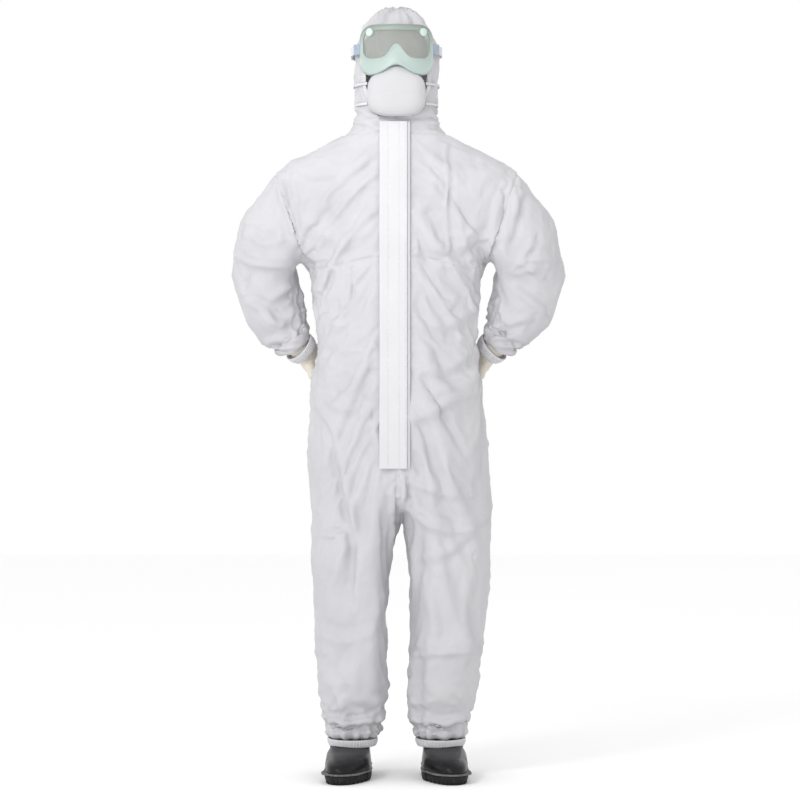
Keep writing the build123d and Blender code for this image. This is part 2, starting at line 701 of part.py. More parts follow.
save_pair(left_boot_upper, "boot_upper")
save_pair(boot_slab(SOLE_HEIGHT, INSOLE_THICK, 91, 267, -62), "boot_insole")
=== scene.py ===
"""The looks of the protective suit: cloth panels, hood, goggles, mask, gloves and boots.

Everything is in metres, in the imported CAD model's frame: +Z up, the suit faces -Y, and the
wearer's left is +X. The garment is lofted from the CAD's own sections, merged into one
surface, let sag and crease as cloth, and then cut apart along its seams.
"""

import math

import bmesh
import bpy
import numpy as np
from mathutils import Matrix, Vector, noise
from mathutils.kdtree import KDTree


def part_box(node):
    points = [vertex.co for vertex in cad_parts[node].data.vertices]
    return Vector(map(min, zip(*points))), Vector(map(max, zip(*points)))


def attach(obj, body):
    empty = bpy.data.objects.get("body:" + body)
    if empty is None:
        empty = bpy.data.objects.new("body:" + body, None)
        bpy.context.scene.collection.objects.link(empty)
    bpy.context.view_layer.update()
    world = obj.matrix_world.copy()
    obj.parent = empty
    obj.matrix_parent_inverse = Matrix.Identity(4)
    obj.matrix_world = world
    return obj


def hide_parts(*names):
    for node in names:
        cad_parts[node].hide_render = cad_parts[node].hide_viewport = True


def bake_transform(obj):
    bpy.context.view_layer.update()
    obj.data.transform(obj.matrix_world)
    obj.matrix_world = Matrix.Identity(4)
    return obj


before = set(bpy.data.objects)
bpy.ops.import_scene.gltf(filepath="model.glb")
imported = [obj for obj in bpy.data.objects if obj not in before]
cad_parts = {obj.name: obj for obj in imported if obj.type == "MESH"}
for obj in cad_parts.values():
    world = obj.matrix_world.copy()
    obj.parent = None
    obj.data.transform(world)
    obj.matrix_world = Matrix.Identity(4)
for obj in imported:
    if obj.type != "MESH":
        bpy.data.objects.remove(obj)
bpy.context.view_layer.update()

UP = np.array([0.0, 0.0, 1.0])
VOXEL = 0.009

# ------------------------------------------------------------------ measures from the frame
FLAP_LOW, FLAP_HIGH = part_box("storm_flap")
CHEST_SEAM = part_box("left_chest_panel")[0].z
COLLAR_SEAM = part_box("left_collar")[0].z
COLLAR_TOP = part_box("left_collar")[1].z
CROTCH = 0.631
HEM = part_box("left_ankle_elastic")[0].z
HOOD_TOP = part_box("hood_crown_panel")[1].z
ARMHOLE = np.array([0.250, 0.023, 1.301])
ARMHOLE_NORMAL = np.array([0.94, 0.0, -0.342])
ELBOW = np.array([0.308, 0.088, 1.167])
WRIST = np.array([0.222, 0.085, 0.979])
HAND = np.array([-0.70, 0.425, -0.573])


def unit(v):
    return np.asarray(v, float) / np.linalg.norm(v)


def smooth_step(t):
    t = np.clip(t, 0, 1)
    return t * t * (3 - 2 * t)


# ------------------------------------------------------------------ sections of the CAD
def triangles_of(*nodes):
    """All triangles of these CAD nodes, as an array of corner points."""
    found = []
    for node in nodes:
        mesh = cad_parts[node].data
        mesh.calc_loop_triangles()
        points = np.array([v.co for v in mesh.vertices])
        found.append(points[np.array([t.vertices for t in mesh.loop_triangles])])
    return np.concatenate(found)


def ring(triangles, origin, normal=UP, toward=(1, 0, 0), count=64, grow=0.0):
    """The convex outline where a plane cuts the triangles, as points round the origin."""
    normal = unit(normal)
    origin = np.asarray(origin, float)
    across = unit(np.asarray(toward) - normal * np.dot(toward, normal))
    other = np.cross(normal, across)
    height = (triangles - origin) @ normal
    points = []
    for i, j in ((0, 1), (1, 2), (2, 0)):
        hit = height[:, i] * height[:, j] < 0
        share = height[hit, i] / (height[hit, i] - height[hit, j])
        edge = triangles[hit, j] - triangles[hit, i]
        points.append(triangles[hit, i] + share[:, None] * edge)
    flat = np.concatenate(points) - origin
    u, v = flat @ across, flat @ other
    around = np.linspace(0, 2 * np.pi, 180, endpoint=False)
    reach = (np.outer(np.cos(around), u) + np.outer(np.sin(around), v)).max(1) + grow
    angles = np.linspace(0, 2 * np.pi, count, endpoint=False)
    facing = np.cos(around[None] - angles[:, None])
    radius = np.where(facing > 0.15, reach[None] / np.maximum(facing, 0.15), 9).min(1)
    return (
        origin
        + np.outer(radius * np.cos(angles), across)
        + np.outer(radius * np.sin(angles), other)
    )


def new_object(name, points, faces):
    mesh = bpy.data.meshes.new(name)
    mesh.from_pydata([tuple(p) for p in points], [], faces)
    mesh.update()
    made = bpy.data.objects.new(name, mesh)
    bpy.context.scene.collection.objects.link(made)
    return made


def loft(name, rings):
    """A closed solid through a row of rings with equal counts, capped at both ends."""
    count = len(rings[0])
    points = np.concatenate(rings)
    faces = []
    for i in range(len(rings) - 1):
        a, b = i * count, (i + 1) * count
        faces += [
            (a + k, a + (k + 1) % count, b + (k + 1) % count, b + k) for k in range(count)
        ]
    faces.append(tuple(range(count))[::-1])
    last = (len(rings) - 1) * count
    faces.append(tuple(range(last, last + count)))
    made = new_object(name, points, faces)
    mesh = bmesh.new()
    mesh.from_mesh(made.data)
    bmesh.ops.recalc_face_normals(mesh, faces=mesh.faces)
    mesh.to_mesh(made.data)
    mesh.free()
    return made


def baked(obj):
    """Applies all of an object's modifiers."""
    graph = bpy.context.evaluated_depsgraph_get()
    mesh = bpy.data.meshes.new_from_object(obj.evaluated_get(graph))
    obj.modifiers.clear()
    obj.data = mesh
    return obj


def merged(parts, voxel, smoothing):
    """One surface around overlapping closed solids."""
    mesh = bmesh.new()
    for part in parts:
        mesh.from_mesh(part.data)
        bpy.data.objects.remove(part)
    whole = new_object("whole", [], [])
    mesh.to_mesh(whole.data)
    mesh.free()
    remesh = whole.modifiers.new("remesh", "REMESH")
    remesh.mode = "VOXEL"
    remesh.voxel_size = voxel
    relax = whole.modifiers.new("relax", "CORRECTIVE_SMOOTH")
    relax.smooth_type = "SIMPLE"
    relax.use_only_smooth = True
    relax.factor = 0.5
    relax.iterations = smoothing
    return baked(whole)


SUIT_NODES = [
    f"{side}_{name}"
    for side in ("left", "right")
    for name in ("chest_panel", "front_panel", "back_panel", "collar")
]
TORSO_CAD = triangles_of("upper_back_panel", *SUIT_NODES)
LEG_CAD = triangles_of("left_front_panel", "left_back_panel")
HOOD_CAD = triangles_of("left_hood_panel", "right_hood_panel", "hood_crown_panel", "chin_panel")
UPPER_CAD = triangles_of("left_upper_sleeve")
LOWER_CAD = triangles_of("left_forearm_sleeve")


def mirrored(rings):
    """The same rings on the wearer's right side."""
    return [r * (-1, 1, 1) for r in rings]


def body_rings(grow=0.0):
    """Rings of the torso with the hood, of the left leg, and of the left arm."""
    shoulder, neck = 1.375, COLLAR_TOP - 0.005
    heights = np.concatenate([np.linspace(CROTCH + 0.006, shoulder, 34), np.linspace(1.39, neck, 9)])
    trunk = [ring(TORSO_CAD, (0, 0.02, z), grow=grow) for z in heights]
    crown = HOOD_TOP - 0.08
    heights = np.concatenate(
        [np.linspace(COLLAR_TOP + 0.004, crown, 18), np.linspace(crown + 0.01, HOOD_TOP - 0.004, 9)]
    )
    trunk += [ring(HOOD_CAD, (0, 0.02, z), grow=grow) for z in heights]
    leg = []
    for z in np.linspace(HEM + 0.016, CROTCH - 0.012, 40):
        t = (z - HEM) / (CROTCH - HEM)
        centre = (0.101 + 0.010 * math.sin(math.pi * t), 0.044 - 0.03 * t, z)
        leg.append(ring(LEG_CAD, centre, grow=grow))
    last = leg[-1]
    leg += [last + (0, 0, 0.02), last * 0.96 + (0.004, 0, 0.045 + 0.04 * CROTCH)]
    arm = []
    upper = unit(ELBOW - ARMHOLE)
    lower = unit(WRIST - ELBOW)
    outward = unit(upper - lower)
    bend = unit(upper + lower)
    for t in np.linspace(0.01, 0.97, 14):
        normal = unit(ARMHOLE_NORMAL * (1 - smooth_step(t)) + bend * smooth_step(t))
        bow = np.array([0.016, -0.006, 0.004]) * math.sin(math.pi * t)
        centre = ARMHOLE + (ELBOW - ARMHOLE) * t + bow + ARMHOLE_NORMAL * 0.001
        arm.append(ring(UPPER_CAD, centre, normal, outward + UP * (1 - t), grow=grow))
    arm.insert(0, arm[0] - ARMHOLE_NORMAL * 0.05 + (ARMHOLE - arm[0].mean(0)) * 0.1)
    for t in np.linspace(0.04, 0.985, 16):
        turn = smooth_step((t - 0.75) / 0.25) * 0.6
        normal = unit(bend * max(0, 1 - t / 0.4) + lower * min(1, t / 0.4) * (1 - turn) + HAND * turn)
        centre = ELBOW + (WRIST - ELBOW) * t
        arm.append(ring(LOWER_CAD, centre, normal, outward, grow=grow))
    return trunk, leg, arm


def garment_volume(grow, voxel, smoothing):
    trunk, leg, arm = body_rings(grow)
    parts = [loft("trunk", trunk)]
    for rings in (leg, arm):
        parts += [loft("limb", rings), loft("limb", mirrored(rings))]
    return merged(parts, voxel, smoothing)


# ------------------------------------------------------------------ cloth simulation
def coordinates(obj):
    flat = np.empty(len(obj.data.vertices) * 3)
    obj.data.vertices.foreach_get("co", flat)
    return flat.reshape(-1, 3)


def set_coordinates(obj, points):
    obj.data.vertices.foreach_set("co", np.ascontiguousarray(points, float).ravel())
    obj.data.update()


def vertex_normals(obj):
    flat = np.empty(len(obj.data.vertices) * 3)
    obj.data.vertices.foreach_get("normal", flat)
    return flat.reshape(-1, 3)


def weight_group(obj, name, weights):
    group = obj.vertex_groups.new(name=name)
    for level in np.unique(np.round(weights, 1)):
        if level > 0:
            chosen = np.nonzero(np.round(weights, 1) == level)[0]
            group.add([int(i) for i in chosen], float(level), "REPLACE")
    return group


def held_still(points):
    """1 where the garment is held: the zip's strip, the hood's face, the cuffs and the hems."""
    x, y, z = np.abs(points[:, 0]), points[:, 1], points[:, 2]
    strip = 1 - smooth_step((x - 0.024) / 0.03)
    strip *= (y < 0) * (z > FLAP_LOW.z - 0.02)
    face = (1 - smooth_step((x - 0.075) / 0.02)) * (y < 0.0) * (z > COLLAR_TOP)
    crown = smooth_step((z - HOOD_TOP + 0.035) / 0.02)
    hem = 1 - smooth_step((z - HEM - 0.02) / 0.03)
    from_wrist = np.linalg.norm(np.stack([x, y, z], 1) - WRIST, axis=1)
    cuff = 1 - smooth_step((from_wrist - 0.045) / 0.02)
    return np.clip(np.max([strip, face, crown, hem, cuff], axis=0), 0, 1)


def crumple(obj, frames, slack, gravity, cap):
    """Lets the garment sag and crease over a slimmer form, moving no point more than cap."""
    scene = bpy.context.scene
    before = coordinates(obj)
    weight_group(obj, "held", held_still(before))
    form = garment_volume(-0.014, 0.02, 2)
    form.modifiers.new("collision", "COLLISION")
    form.collision.thickness_outer = 0.003
    cloth = obj.modifiers.new("cloth", "CLOTH")
    cloth.settings.vertex_group_mass = "held"
    cloth.settings.quality = 5
    cloth.settings.mass = 0.1
    cloth.settings.tension_stiffness = 20
    cloth.settings.compression_stiffness = 20
    cloth.settings.shear_stiffness = 8
    cloth.settings.bending_stiffness = 0.6
    cloth.settings.shrink_min = -slack
    cloth.settings.effector_weights.gravity = gravity
    cloth.collision_settings.distance_min = 0.003
    for number in range(1, frames + 1):
        scene.frame_set(number)
    baked(obj)
    scene.frame_set(1)
    bpy.data.objects.remove(form)
    moved = coordinates(obj) - before
    length = np.linalg.norm(moved, axis=1, keepdims=True)
    set_coordinates(obj, before + moved * np.minimum(1, cap / np.maximum(length, 1e-9)))
    obj.vertex_groups.clear()


# ------------------------------------------------------------------ folds, listed one by one
def front_fold(x_z, ridge, width, trough=0.0, trough_width=None, facing=-1):
    """A fold along a row of (x, z) points seen from the front (facing -1) or back (1)."""
    line = np.array(x_z, float)
    for _ in range(3):
        early, late = line[:-1] * 0.75 + line[1:] * 0.25, line[:-1] * 0.25 + line[1:] * 0.75
        cut = np.stack([early, late], 1).reshape(-1, 2)
        line = np.vstack([line[:1], cut, line[-1:]])
    return {
        "line": line,
        "ridge": ridge,
        "width": width,
        "trough": trough,
        "trough_width": trough_width or width,
        "facing": facing,
    }


def fold_height(fold, x, z):
    """Height of a fold over points; the trough lies on the left of the line's direction."""
    line = fold["line"]
    best = np.full(len(x), 9.0)
    signed = np.zeros(len(x))
    along = np.zeros(len(x))
    lengths = np.linalg.norm(np.diff(line, axis=0), axis=1)
    total, run = lengths.sum(), 0.0
    for (ax, az), (bx, bz), length in zip(line[:-1], line[1:], lengths):
        ux, uz = (bx - ax) / length, (bz - az) / length
        t = np.clip((x - ax) * ux + (z - az) * uz, 0, length)
        dx, dz = x - ax - t * ux, z - az - t * uz
        distance = np.hypot(dx, dz)
        nearer = distance < best
        best = np.where(nearer, distance, best)
        signed = np.where(nearer, np.sign(ux * dz - uz * dx) * distance, signed)
        along = np.where(nearer, (run + t) / total, along)
        run += length
    taper = np.sin(np.pi * np.clip(0.12 + 0.76 * along, 0, 1)) ** 0.7
    height = fold["ridge"] * np.exp(-((signed / fold["width"]) ** 2))
    offset = 0.9 * (fold["width"] + fold["trough_width"])
    height -= fold["trough"] * np.exp(-(((signed - offset) / fold["trough_width"]) ** 2))
    return height * taper


def apply_folds(obj, folds):
    points, normals = coordinates(obj), vertex_normals(obj)
    total = np.zeros(len(points))
    sway = np.array([noise.noise_vector(Vector(p) * 11.0) for p in points]) * 0.010
    x, z = points[:, 0] + sway[:, 0], points[:, 2] + sway[:, 2]
    for fold in folds:
        faces = smooth_step((normals[:, 1] * fold["facing"] + 0.1) / 0.5)
        low, high = fold["line"].min(0) - 0.06, fold["line"].max(0) + 0.06
        near = (x > low[0]) & (x < high[0]) & (z > low[1]) & (z < high[1])
        total[near] += fold_height(fold, x[near], z[near]) * faces[near]
    set_coordinates(obj, points + normals * total[:, None])


def creases(obj, scale, depth, seed, where=None):
    """Fine sharp creases all over, like those of cloth that was packed folded."""
    points, normals = coordinates(obj), vertex_normals(obj)
    drift = Vector((seed * 7.3, seed * 1.7, seed * 3.1))
    height = np.array(
        [noise.ridged_multi_fractal(Vector(p) * scale + drift, 0.9, 2.1, 3, 0.9, 1.8) for p in points]
    )
    height = (height - height.mean()) / height.std()
    amount = np.clip(height, -1.6, 2.2) * depth
    if where is not None:
        amount *= where(points)
    set_coordinates(obj, points + normals * amount[:, None])


# ------------------------------------------------------------------ the garment's surface
def bump(v, low, high):
    """1 between low and high, fading over a tenth of the way outside them."""
    edge = 0.25 * (high - low)
    return smooth_step((v - low + edge) / edge) * smooth_step((high + edge - v) / edge)


STANCE = np.array(
    # height, shift to +X, spread of the outer edges
    [
        (0.00, 0.000, 0.000),
        (0.10, 0.000, 0.000),
        (0.16, 0.003, 0.000),
        (0.23, 0.008, 0.000),
        (0.30, 0.011, 0.003),
        (0.37, 0.012, 0.004),
        (0.45, 0.013, 0.006),
        (0.52, 0.013, 0.007),
        (0.59, 0.016, 0.009),
        (0.63, 0.015, 0.008),
        (0.70, 0.012, 0.004),
        (0.78, 0.006, 0.003),
        (0.85, 0.004, 0.000),
        (0.95, 0.001, 0.000),
        (1.00, 0.000, 0.000),
    ]
)


def stance(points):
    """The wearer stands with the weight on one leg, which leans the trousers to +X."""
    x, z = points[:, 0], points[:, 2]
    shift = np.interp(z, STANCE[:, 0], STANCE[:, 1])
    spread = np.interp(z, STANCE[:, 0], STANCE[:, 2])
    trousers = 1 - smooth_step((np.abs(x) - 0.215) / 0.02)
    moved = points.copy()
    moved[:, 0] += trousers * (shift + spread * x / 0.2)
    sleeve = smooth_step((x - 0.27) / 0.07) * bump(z, 1.06, 1.30)
    moved[:, 0] += 0.011 * sleeve
    neck = bump(z, COLLAR_SEAM - 0.004, COLLAR_SEAM + 0.02)
    moved[:, 0] -= 0.012 * neck * np.clip(x / 0.11, -1, 1)
    return moved


TRUNK_RINGS, LEG_RINGS, ARM_RINGS = body_rings()
LIMBS = (TRUNK_RINGS + mirrored(TRUNK_RINGS), LEG_RINGS, ARM_RINGS)


def limb_of(points):
    """0 for the trunk and hood, 1 for a leg, 2 for an arm, by the nearest section."""
    rows = [np.concatenate(rings) for rings in LIMBS]
    labels = np.repeat([0, 1, 2], [len(r) for r in rows])
    tree = KDTree(len(labels))
    for i, point in enumerate(np.concatenate(rows)):
        tree.insert(point, i)
    tree.balance()
    found = np.array([labels[tree.find((abs(x), y, z))[1]] for x, y, z in points])
    out = armhole_distance(points)
    near = np.linalg.norm(np.abs(points) * (1, 1, 1) - ARMHOLE, axis=1) < 0.13
    arm = (out > 0) & ((found == 2) | near) & (points[:, 2] < COLLAR_SEAM)
    return np.where(arm, 2, np.where(found == 2, 0, found))


def armhole_distance(points):
    mirrored_x = np.column_stack([np.abs(points[:, 0]), points[:, 1], points[:, 2]])
    return (mirrored_x - ARMHOLE) @ unit(ARMHOLE_NORMAL)


def pleats(points):
    """Gathers: at the ankles, the wrists, the waist, the crown and the neck."""
    x, y, z = points.T
    height = np.zeros(len(points))
    leg_angle = np.arctan2(y - 0.044, np.abs(x) - 0.101)
    side = np.sign(x)
    fade = 1 - smooth_step((z - HEM - 0.016) / 0.075)
    fade *= smooth_step((z - HEM - 0.012) / 0.016)
    wave = np.sin(leg_angle * 13 + side * 1.3 + 1.2 * np.sin(leg_angle * 3 + side))
    height += 0.0045 * wave * fade * (z < 0.3)
    wrist = np.linalg.norm(np.column_stack([np.abs(x), y, z]) - WRIST, axis=1)
    turn = np.arctan2(z - WRIST[2], y - WRIST[1]) + 0.4 * np.abs(x)
    fade = (1 - smooth_step((wrist - 0.045) / 0.06)) * (np.abs(x) > 0.19)
    fade *= smooth_step((wrist - 0.036) / 0.016)
    height += 0.004 * np.sin(turn * 12 + 1.1 * np.sin(turn * 4 + side)) * fade
    around = np.arctan2(y - 0.03, x)
    waist = np.exp(-(((z - 0.962) / 0.028) ** 2)) * (y > 0.02) * (np.abs(x) < 0.2)
    height += waist * (0.004 * np.sin(around * 46 + 2 * np.sin(around * 9)) - 0.004)
    crown = smooth_step((z - 1.69) / 0.03) * (1 - smooth_step((z - 1.757) / 0.01) * 0.5)
    lobes = np.sin(around * 9 + 1.4) + 0.7 * np.sin(around * 15 + 0.5) + 0.4 * np.sin(around * 24)
    height += 0.0035 * crown * lobes
    neck = bump(z, 1.475, 1.525) * (np.abs(x) < 0.2)
    height += 0.0022 * neck * np.sin(z * 260 + 3.0 * np.sin(around * 3 + 0.7) + 2 * x / 0.1)
    return height


FRONT_FOLDS = [
    # the blouse of the body over the hips, both sides of the flap
    front_fold([(-0.182, 0.880), (-0.158, 0.862), (-0.134, 0.846), (-0.104, 0.835), (-0.074, 0.831),
                (-0.038, 0.820)], 0.011, 0.013, -0.009, 0.016),
    front_fold([(0.026, 0.817), (0.072, 0.826), (0.108, 0.858), (0.156, 0.878), (0.190, 0.884)],
               0.012, 0.014, -0.010, 0.016),
    front_fold([(-0.050, 0.806), (-0.045, 0.760), (-0.040, 0.705)], 0.005, 0.010, 0.007, 0.009),
    # the long valley down the wearer's right trouser leg
    front_fold([(-0.188, 0.832), (-0.163, 0.787), (-0.147, 0.734), (-0.131, 0.686), (-0.122, 0.640),
                (-0.111, 0.570), (-0.104, 0.510), (-0.104, 0.400)], -0.010, 0.010, -0.007, 0.012),
    front_fold([(-0.163, 0.553), (-0.135, 0.552), (-0.110, 0.552)], 0.006, 0.006, 0.005, 0.006),
    # from the end of the flap to the crotch, and across the wearer's left thigh
    front_fold([(0.010, 0.693), (0.012, 0.662), (0.008, 0.625)], 0.005, 0.006, 0.006, 0.006),
    front_fold([(0.013, 0.686), (0.035, 0.670), (0.072, 0.663), (0.142, 0.645)],
               0.008, 0.009, -0.007, 0.012),
    front_fold([(0.013, 0.641), (0.031, 0.609), (0.058, 0.588), (0.095, 0.574), (0.129, 0.565),
                (0.154, 0.567), (0.190, 0.579)], 0.010, 0.010, -0.008, 0.010),
    front_fold([(0.165, 0.560), (0.120, 0.520), (0.070, 0.500)], 0.006, 0.014, 0.004, 0.012),
    # the hood's slack, bunched under the chin at the wearer's right
    front_fold([(-0.088, 1.500), (-0.062, 1.489), (-0.038, 1.474)], 0.006, 0.008, -0.006, 0.009),
    # knees and shins
    front_fold([(0.045, 0.280), (0.100, 0.291), (0.175, 0.296)], 0.009, 0.010, -0.007, 0.012),
    front_fold([(0.036, 0.275), (0.034, 0.180), (0.033, 0.090)], 0.006, 0.010, 0.006, 0.010),
    front_fold([(-0.180, 0.330), (-0.120, 0.312), (-0.050, 0.330)], 0.006, 0.012, 0.005, 0.012),
    front_fold([(-0.175, 0.250), (-0.130, 0.180), (-0.120, 0.110)], 0.007, 0.013, 0.005, 0.012),
    front_fold([(-0.030, 0.420), (-0.060, 0.300), (-0.050, 0.180)], 0.006, 0.014, 0.005, 0.012),
    front_fold([(0.170, 0.480), (0.150, 0.380), (0.160, 0.280)], 0.007, 0.014, 0.005, 0.012),
    front_fold([(0.070, 0.430), (0.090, 0.360), (0.080, 0.300)], 0.005, 0.012, 0.004, 0.012),
    front_fold([(-0.165, 0.130), (-0.110, 0.122), (-0.060, 0.135)], 0.007, 0.008, 0.006, 0.008),
    front_fold([(0.060, 0.135), (0.110, 0.124), (0.160, 0.136)], 0.007, 0.008, 0.006, 0.008),
    # creases of the chest and the armholes
    front_fold([(0.116, 1.435), (0.116, 1.320), (0.114, 1.196)], 0.004, 0.006, 0.004, 0.006),
    front_fold([(-0.106, 1.165), (-0.106, 1.090)], 0.004, 0.005, 0.004, 0.005),
    front_fold([(-0.156, 1.150), (-0.170, 1.115)], 0.004, 0.006, 0.004, 0.006),
    front_fold([(-0.270, 1.365), (-0.262, 1.325), (-0.246, 1.280), (-0.236, 1.240)],
               0.009, 0.011, 0.004, 0.008),
    front_fold([(0.234, 1.318), (0.215, 1.225)], 0.008, 0.010, 0.006, 0.008),
    front_fold([(0.283, 1.330), (0.262, 1.240)], 0.007, 0.010, 0.006, 0.008),
    front_fold([(-0.060, 1.400), (-0.150, 1.375), (-0.230, 1.385)], 0.005, 0.016, 0.003, 0.014),
    front_fold([(0.060, 1.395), (0.150, 1.365), (0.225, 1.372)], 0.005, 0.016, 0.003, 0.014),
    front_fold([(-0.190, 1.270), (-0.150, 1.230), (-0.090, 1.215)], 0.005, 0.014, 0.004, 0.012),
    front_fold([(0.180, 1.270), (0.150, 1.215), (0.080, 1.195)], 0.005, 0.014, 0.004, 0.012),
    front_fold([(-0.185, 1.060), (-0.120, 1.030), (-0.060, 1.040)], 0.005, 0.016, 0.004, 0.014),
    front_fold([(0.180, 1.080), (0.130, 1.040), (0.060, 1.030)], 0.005, 0.016, 0.004, 0.014),
    front_fold([(-0.170, 0.960), (-0.120, 0.930), (-0.070, 0.935)], 0.005, 0.014, 0.004, 0.012),
    front_fold([(0.180, 0.975), (0.120, 0.935), (0.050, 0.930)], 0.006, 0.014, 0.004, 0.012),
    # the elbows' creases
    front_fold([(-0.373, 1.200), (-0.330, 1.177), (-0.293, 1.168), (-0.252, 1.163)],
               0.010, 0.010, -0.008, 0.010),
    front_fold([(-0.335, 1.152), (-0.349, 1.113)], -0.007, 0.008, -0.003, 0.008),
    front_fold([(-0.240, 1.126), (-0.277, 1.090)], 0.007, 0.008, 0.005, 0.008),
    front_fold([(-0.345, 1.240), (-0.300, 1.215), (-0.265, 1.220)], 0.006, 0.010, 0.005, 0.010),
    front_fold([(0.311, 1.218), (0.282, 1.174)], 0.008, 0.009, 0.006, 0.009),
    front_fold([(0.361, 1.179), (0.311, 1.179), (0.279, 1.165)], 0.009, 0.010, -0.007, 0.010),
    front_fold([(0.293, 1.161), (0.330, 1.140)], 0.006, 0.008, 0.005, 0.008),
    front_fold([(0.272, 1.115), (0.334, 1.065)], 0.008, 0.010, 0.006, 0.010),
    front_fold([(0.300, 1.050), (0.250, 1.030)], 0.006, 0.009, 0.005, 0.009),
    front_fold([(-0.310, 1.045), (-0.255, 1.035)], 0.006, 0.009, 0.005, 0.009),
    front_fold([(-0.340, 1.080), (-0.290, 1.050)], 0.006, 0.009, 0.005, 0.009),
]
BACK_FOLDS = [
    front_fold([(-0.200, 1.340), (-0.080, 1.300), (0.0, 1.310)], 0.007, 0.018, 0.005, 0.016, 1),
    front_fold([(0.200, 1.350), (0.090, 1.290), (0.0, 1.280)], 0.007, 0.018, 0.005, 0.016, 1),
    front_fold([(-0.190, 1.230), (-0.060, 1.180), (0.060, 1.200)], 0.008, 0.016, 0.005, 0.016, 1),
    front_fold([(0.190, 1.210), (0.100, 1.130), (0.020, 1.110)], 0.008, 0.016, 0.005, 0.016, 1),
    front_fold([(-0.180, 1.080), (-0.090, 1.040), (0.020, 1.050)], 0.008, 0.014, 0.005, 0.014, 1),
    front_fold([(-0.180, 1.015), (0.0, 0.995), (0.180, 1.012)], 0.010, 0.014, 0.004, 0.012, 1),
    front_fold([(-0.180, 0.905), (0.0, 0.925), (0.180, 0.908)], 0.008, 0.014, 0.004, 0.012, 1),
    front_fold([(-0.170, 0.760), (-0.080, 0.700), (-0.010, 0.690)], 0.009, 0.014, 0.006, 0.014, 1),
    front_fold([(0.170, 0.750), (0.080, 0.690), (0.020, 0.680)], 0.009, 0.014, 0.006, 0.014, 1),
    front_fold([(-0.170, 0.640), (-0.100, 0.600), (-0.040, 0.610)], 0.008, 0.012, 0.006, 0.012, 1),
    front_fold([(0.180, 0.620), (0.110, 0.580), (0.040, 0.590)], 0.008, 0.012, 0.006, 0.012, 1),
    front_fold([(-0.160, 0.500), (-0.110, 0.400), (-0.130, 0.250)], 0.008, 0.014, 0.006, 0.014, 1),
    front_fold([(0.160, 0.520), (0.110, 0.420), (0.130, 0.260)], 0.008, 0.014, 0.006, 0.014, 1),
    front_fold([(-0.180, 0.310), (-0.110, 0.285), (-0.050, 0.300)], 0.009, 0.012, 0.006, 0.012, 1),
    front_fold([(0.180, 0.300), (0.110, 0.270), (0.050, 0.290)], 0.009, 0.012, 0.006, 0.012, 1),
    front_fold([(-0.170, 0.190), (-0.100, 0.160), (-0.050, 0.180)], 0.008, 0.010, 0.006, 0.010, 1),
    front_fold([(0.170, 0.180), (0.100, 0.150), (0.050, 0.170)], 0.008, 0.010, 0.006, 0.010, 1),
    front_fold([(-0.090, 1.640), (0.0, 1.610), (0.090, 1.640)], 0.005, 0.012, 0.004, 0.012, 1),
    front_fold([(-0.085, 1.560), (0.0, 1.545), (0.085, 1.560)], 0.006, 0.010, 0.004, 0.010, 1),
    front_fold([(-0.330, 1.260), (-0.270, 1.200)], 0.007, 0.012, 0.005, 0.012, 1),
    front_fold([(0.330, 1.260), (0.270, 1.200)], 0.007, 0.012, 0.005, 0.012, 1),
    front_fold([(-0.370, 1.150), (-0.300, 1.110)], 0.007, 0.012, 0.005, 0.012, 1),
    front_fold([(0.370, 1.150), (0.300, 1.110)], 0.007, 0.012, 0.005, 0.012, 1),
]

FACE_LOW, FACE_HIGH, FACE_HALF, FACE_ROUND = 1.528, 1.704, 0.077, 0.047
SLOT = 0.015
CROWN_HALF = 0.038
SIDE_Y = 0.0283


def inside_face(x, z, margin=0.0):
    """Inside the hood's face opening, seen from the front."""
    half, round_ = FACE_HALF - margin, FACE_ROUND - margin
    middle, tall = (FACE_LOW + FACE_HIGH) / 2, (FACE_HIGH - FACE_LOW) / 2 - margin
    over_x = np.maximum(np.abs(x) - half + round_, 0)
    over_z = np.maximum(np.abs(z - middle) - tall + round_, 0)
    return np.hypot(over_x, over_z) < round_


def calm(points):
    """How far folds may go at each point: flat along the zip, the face and the cut ends."""
    return 1 - held_still(points)


def subdivided(obj):
    smooth = obj.modifiers.new("finer", "SUBSURF")
    smooth.levels = smooth.render_levels = 1
    return baked(obj)


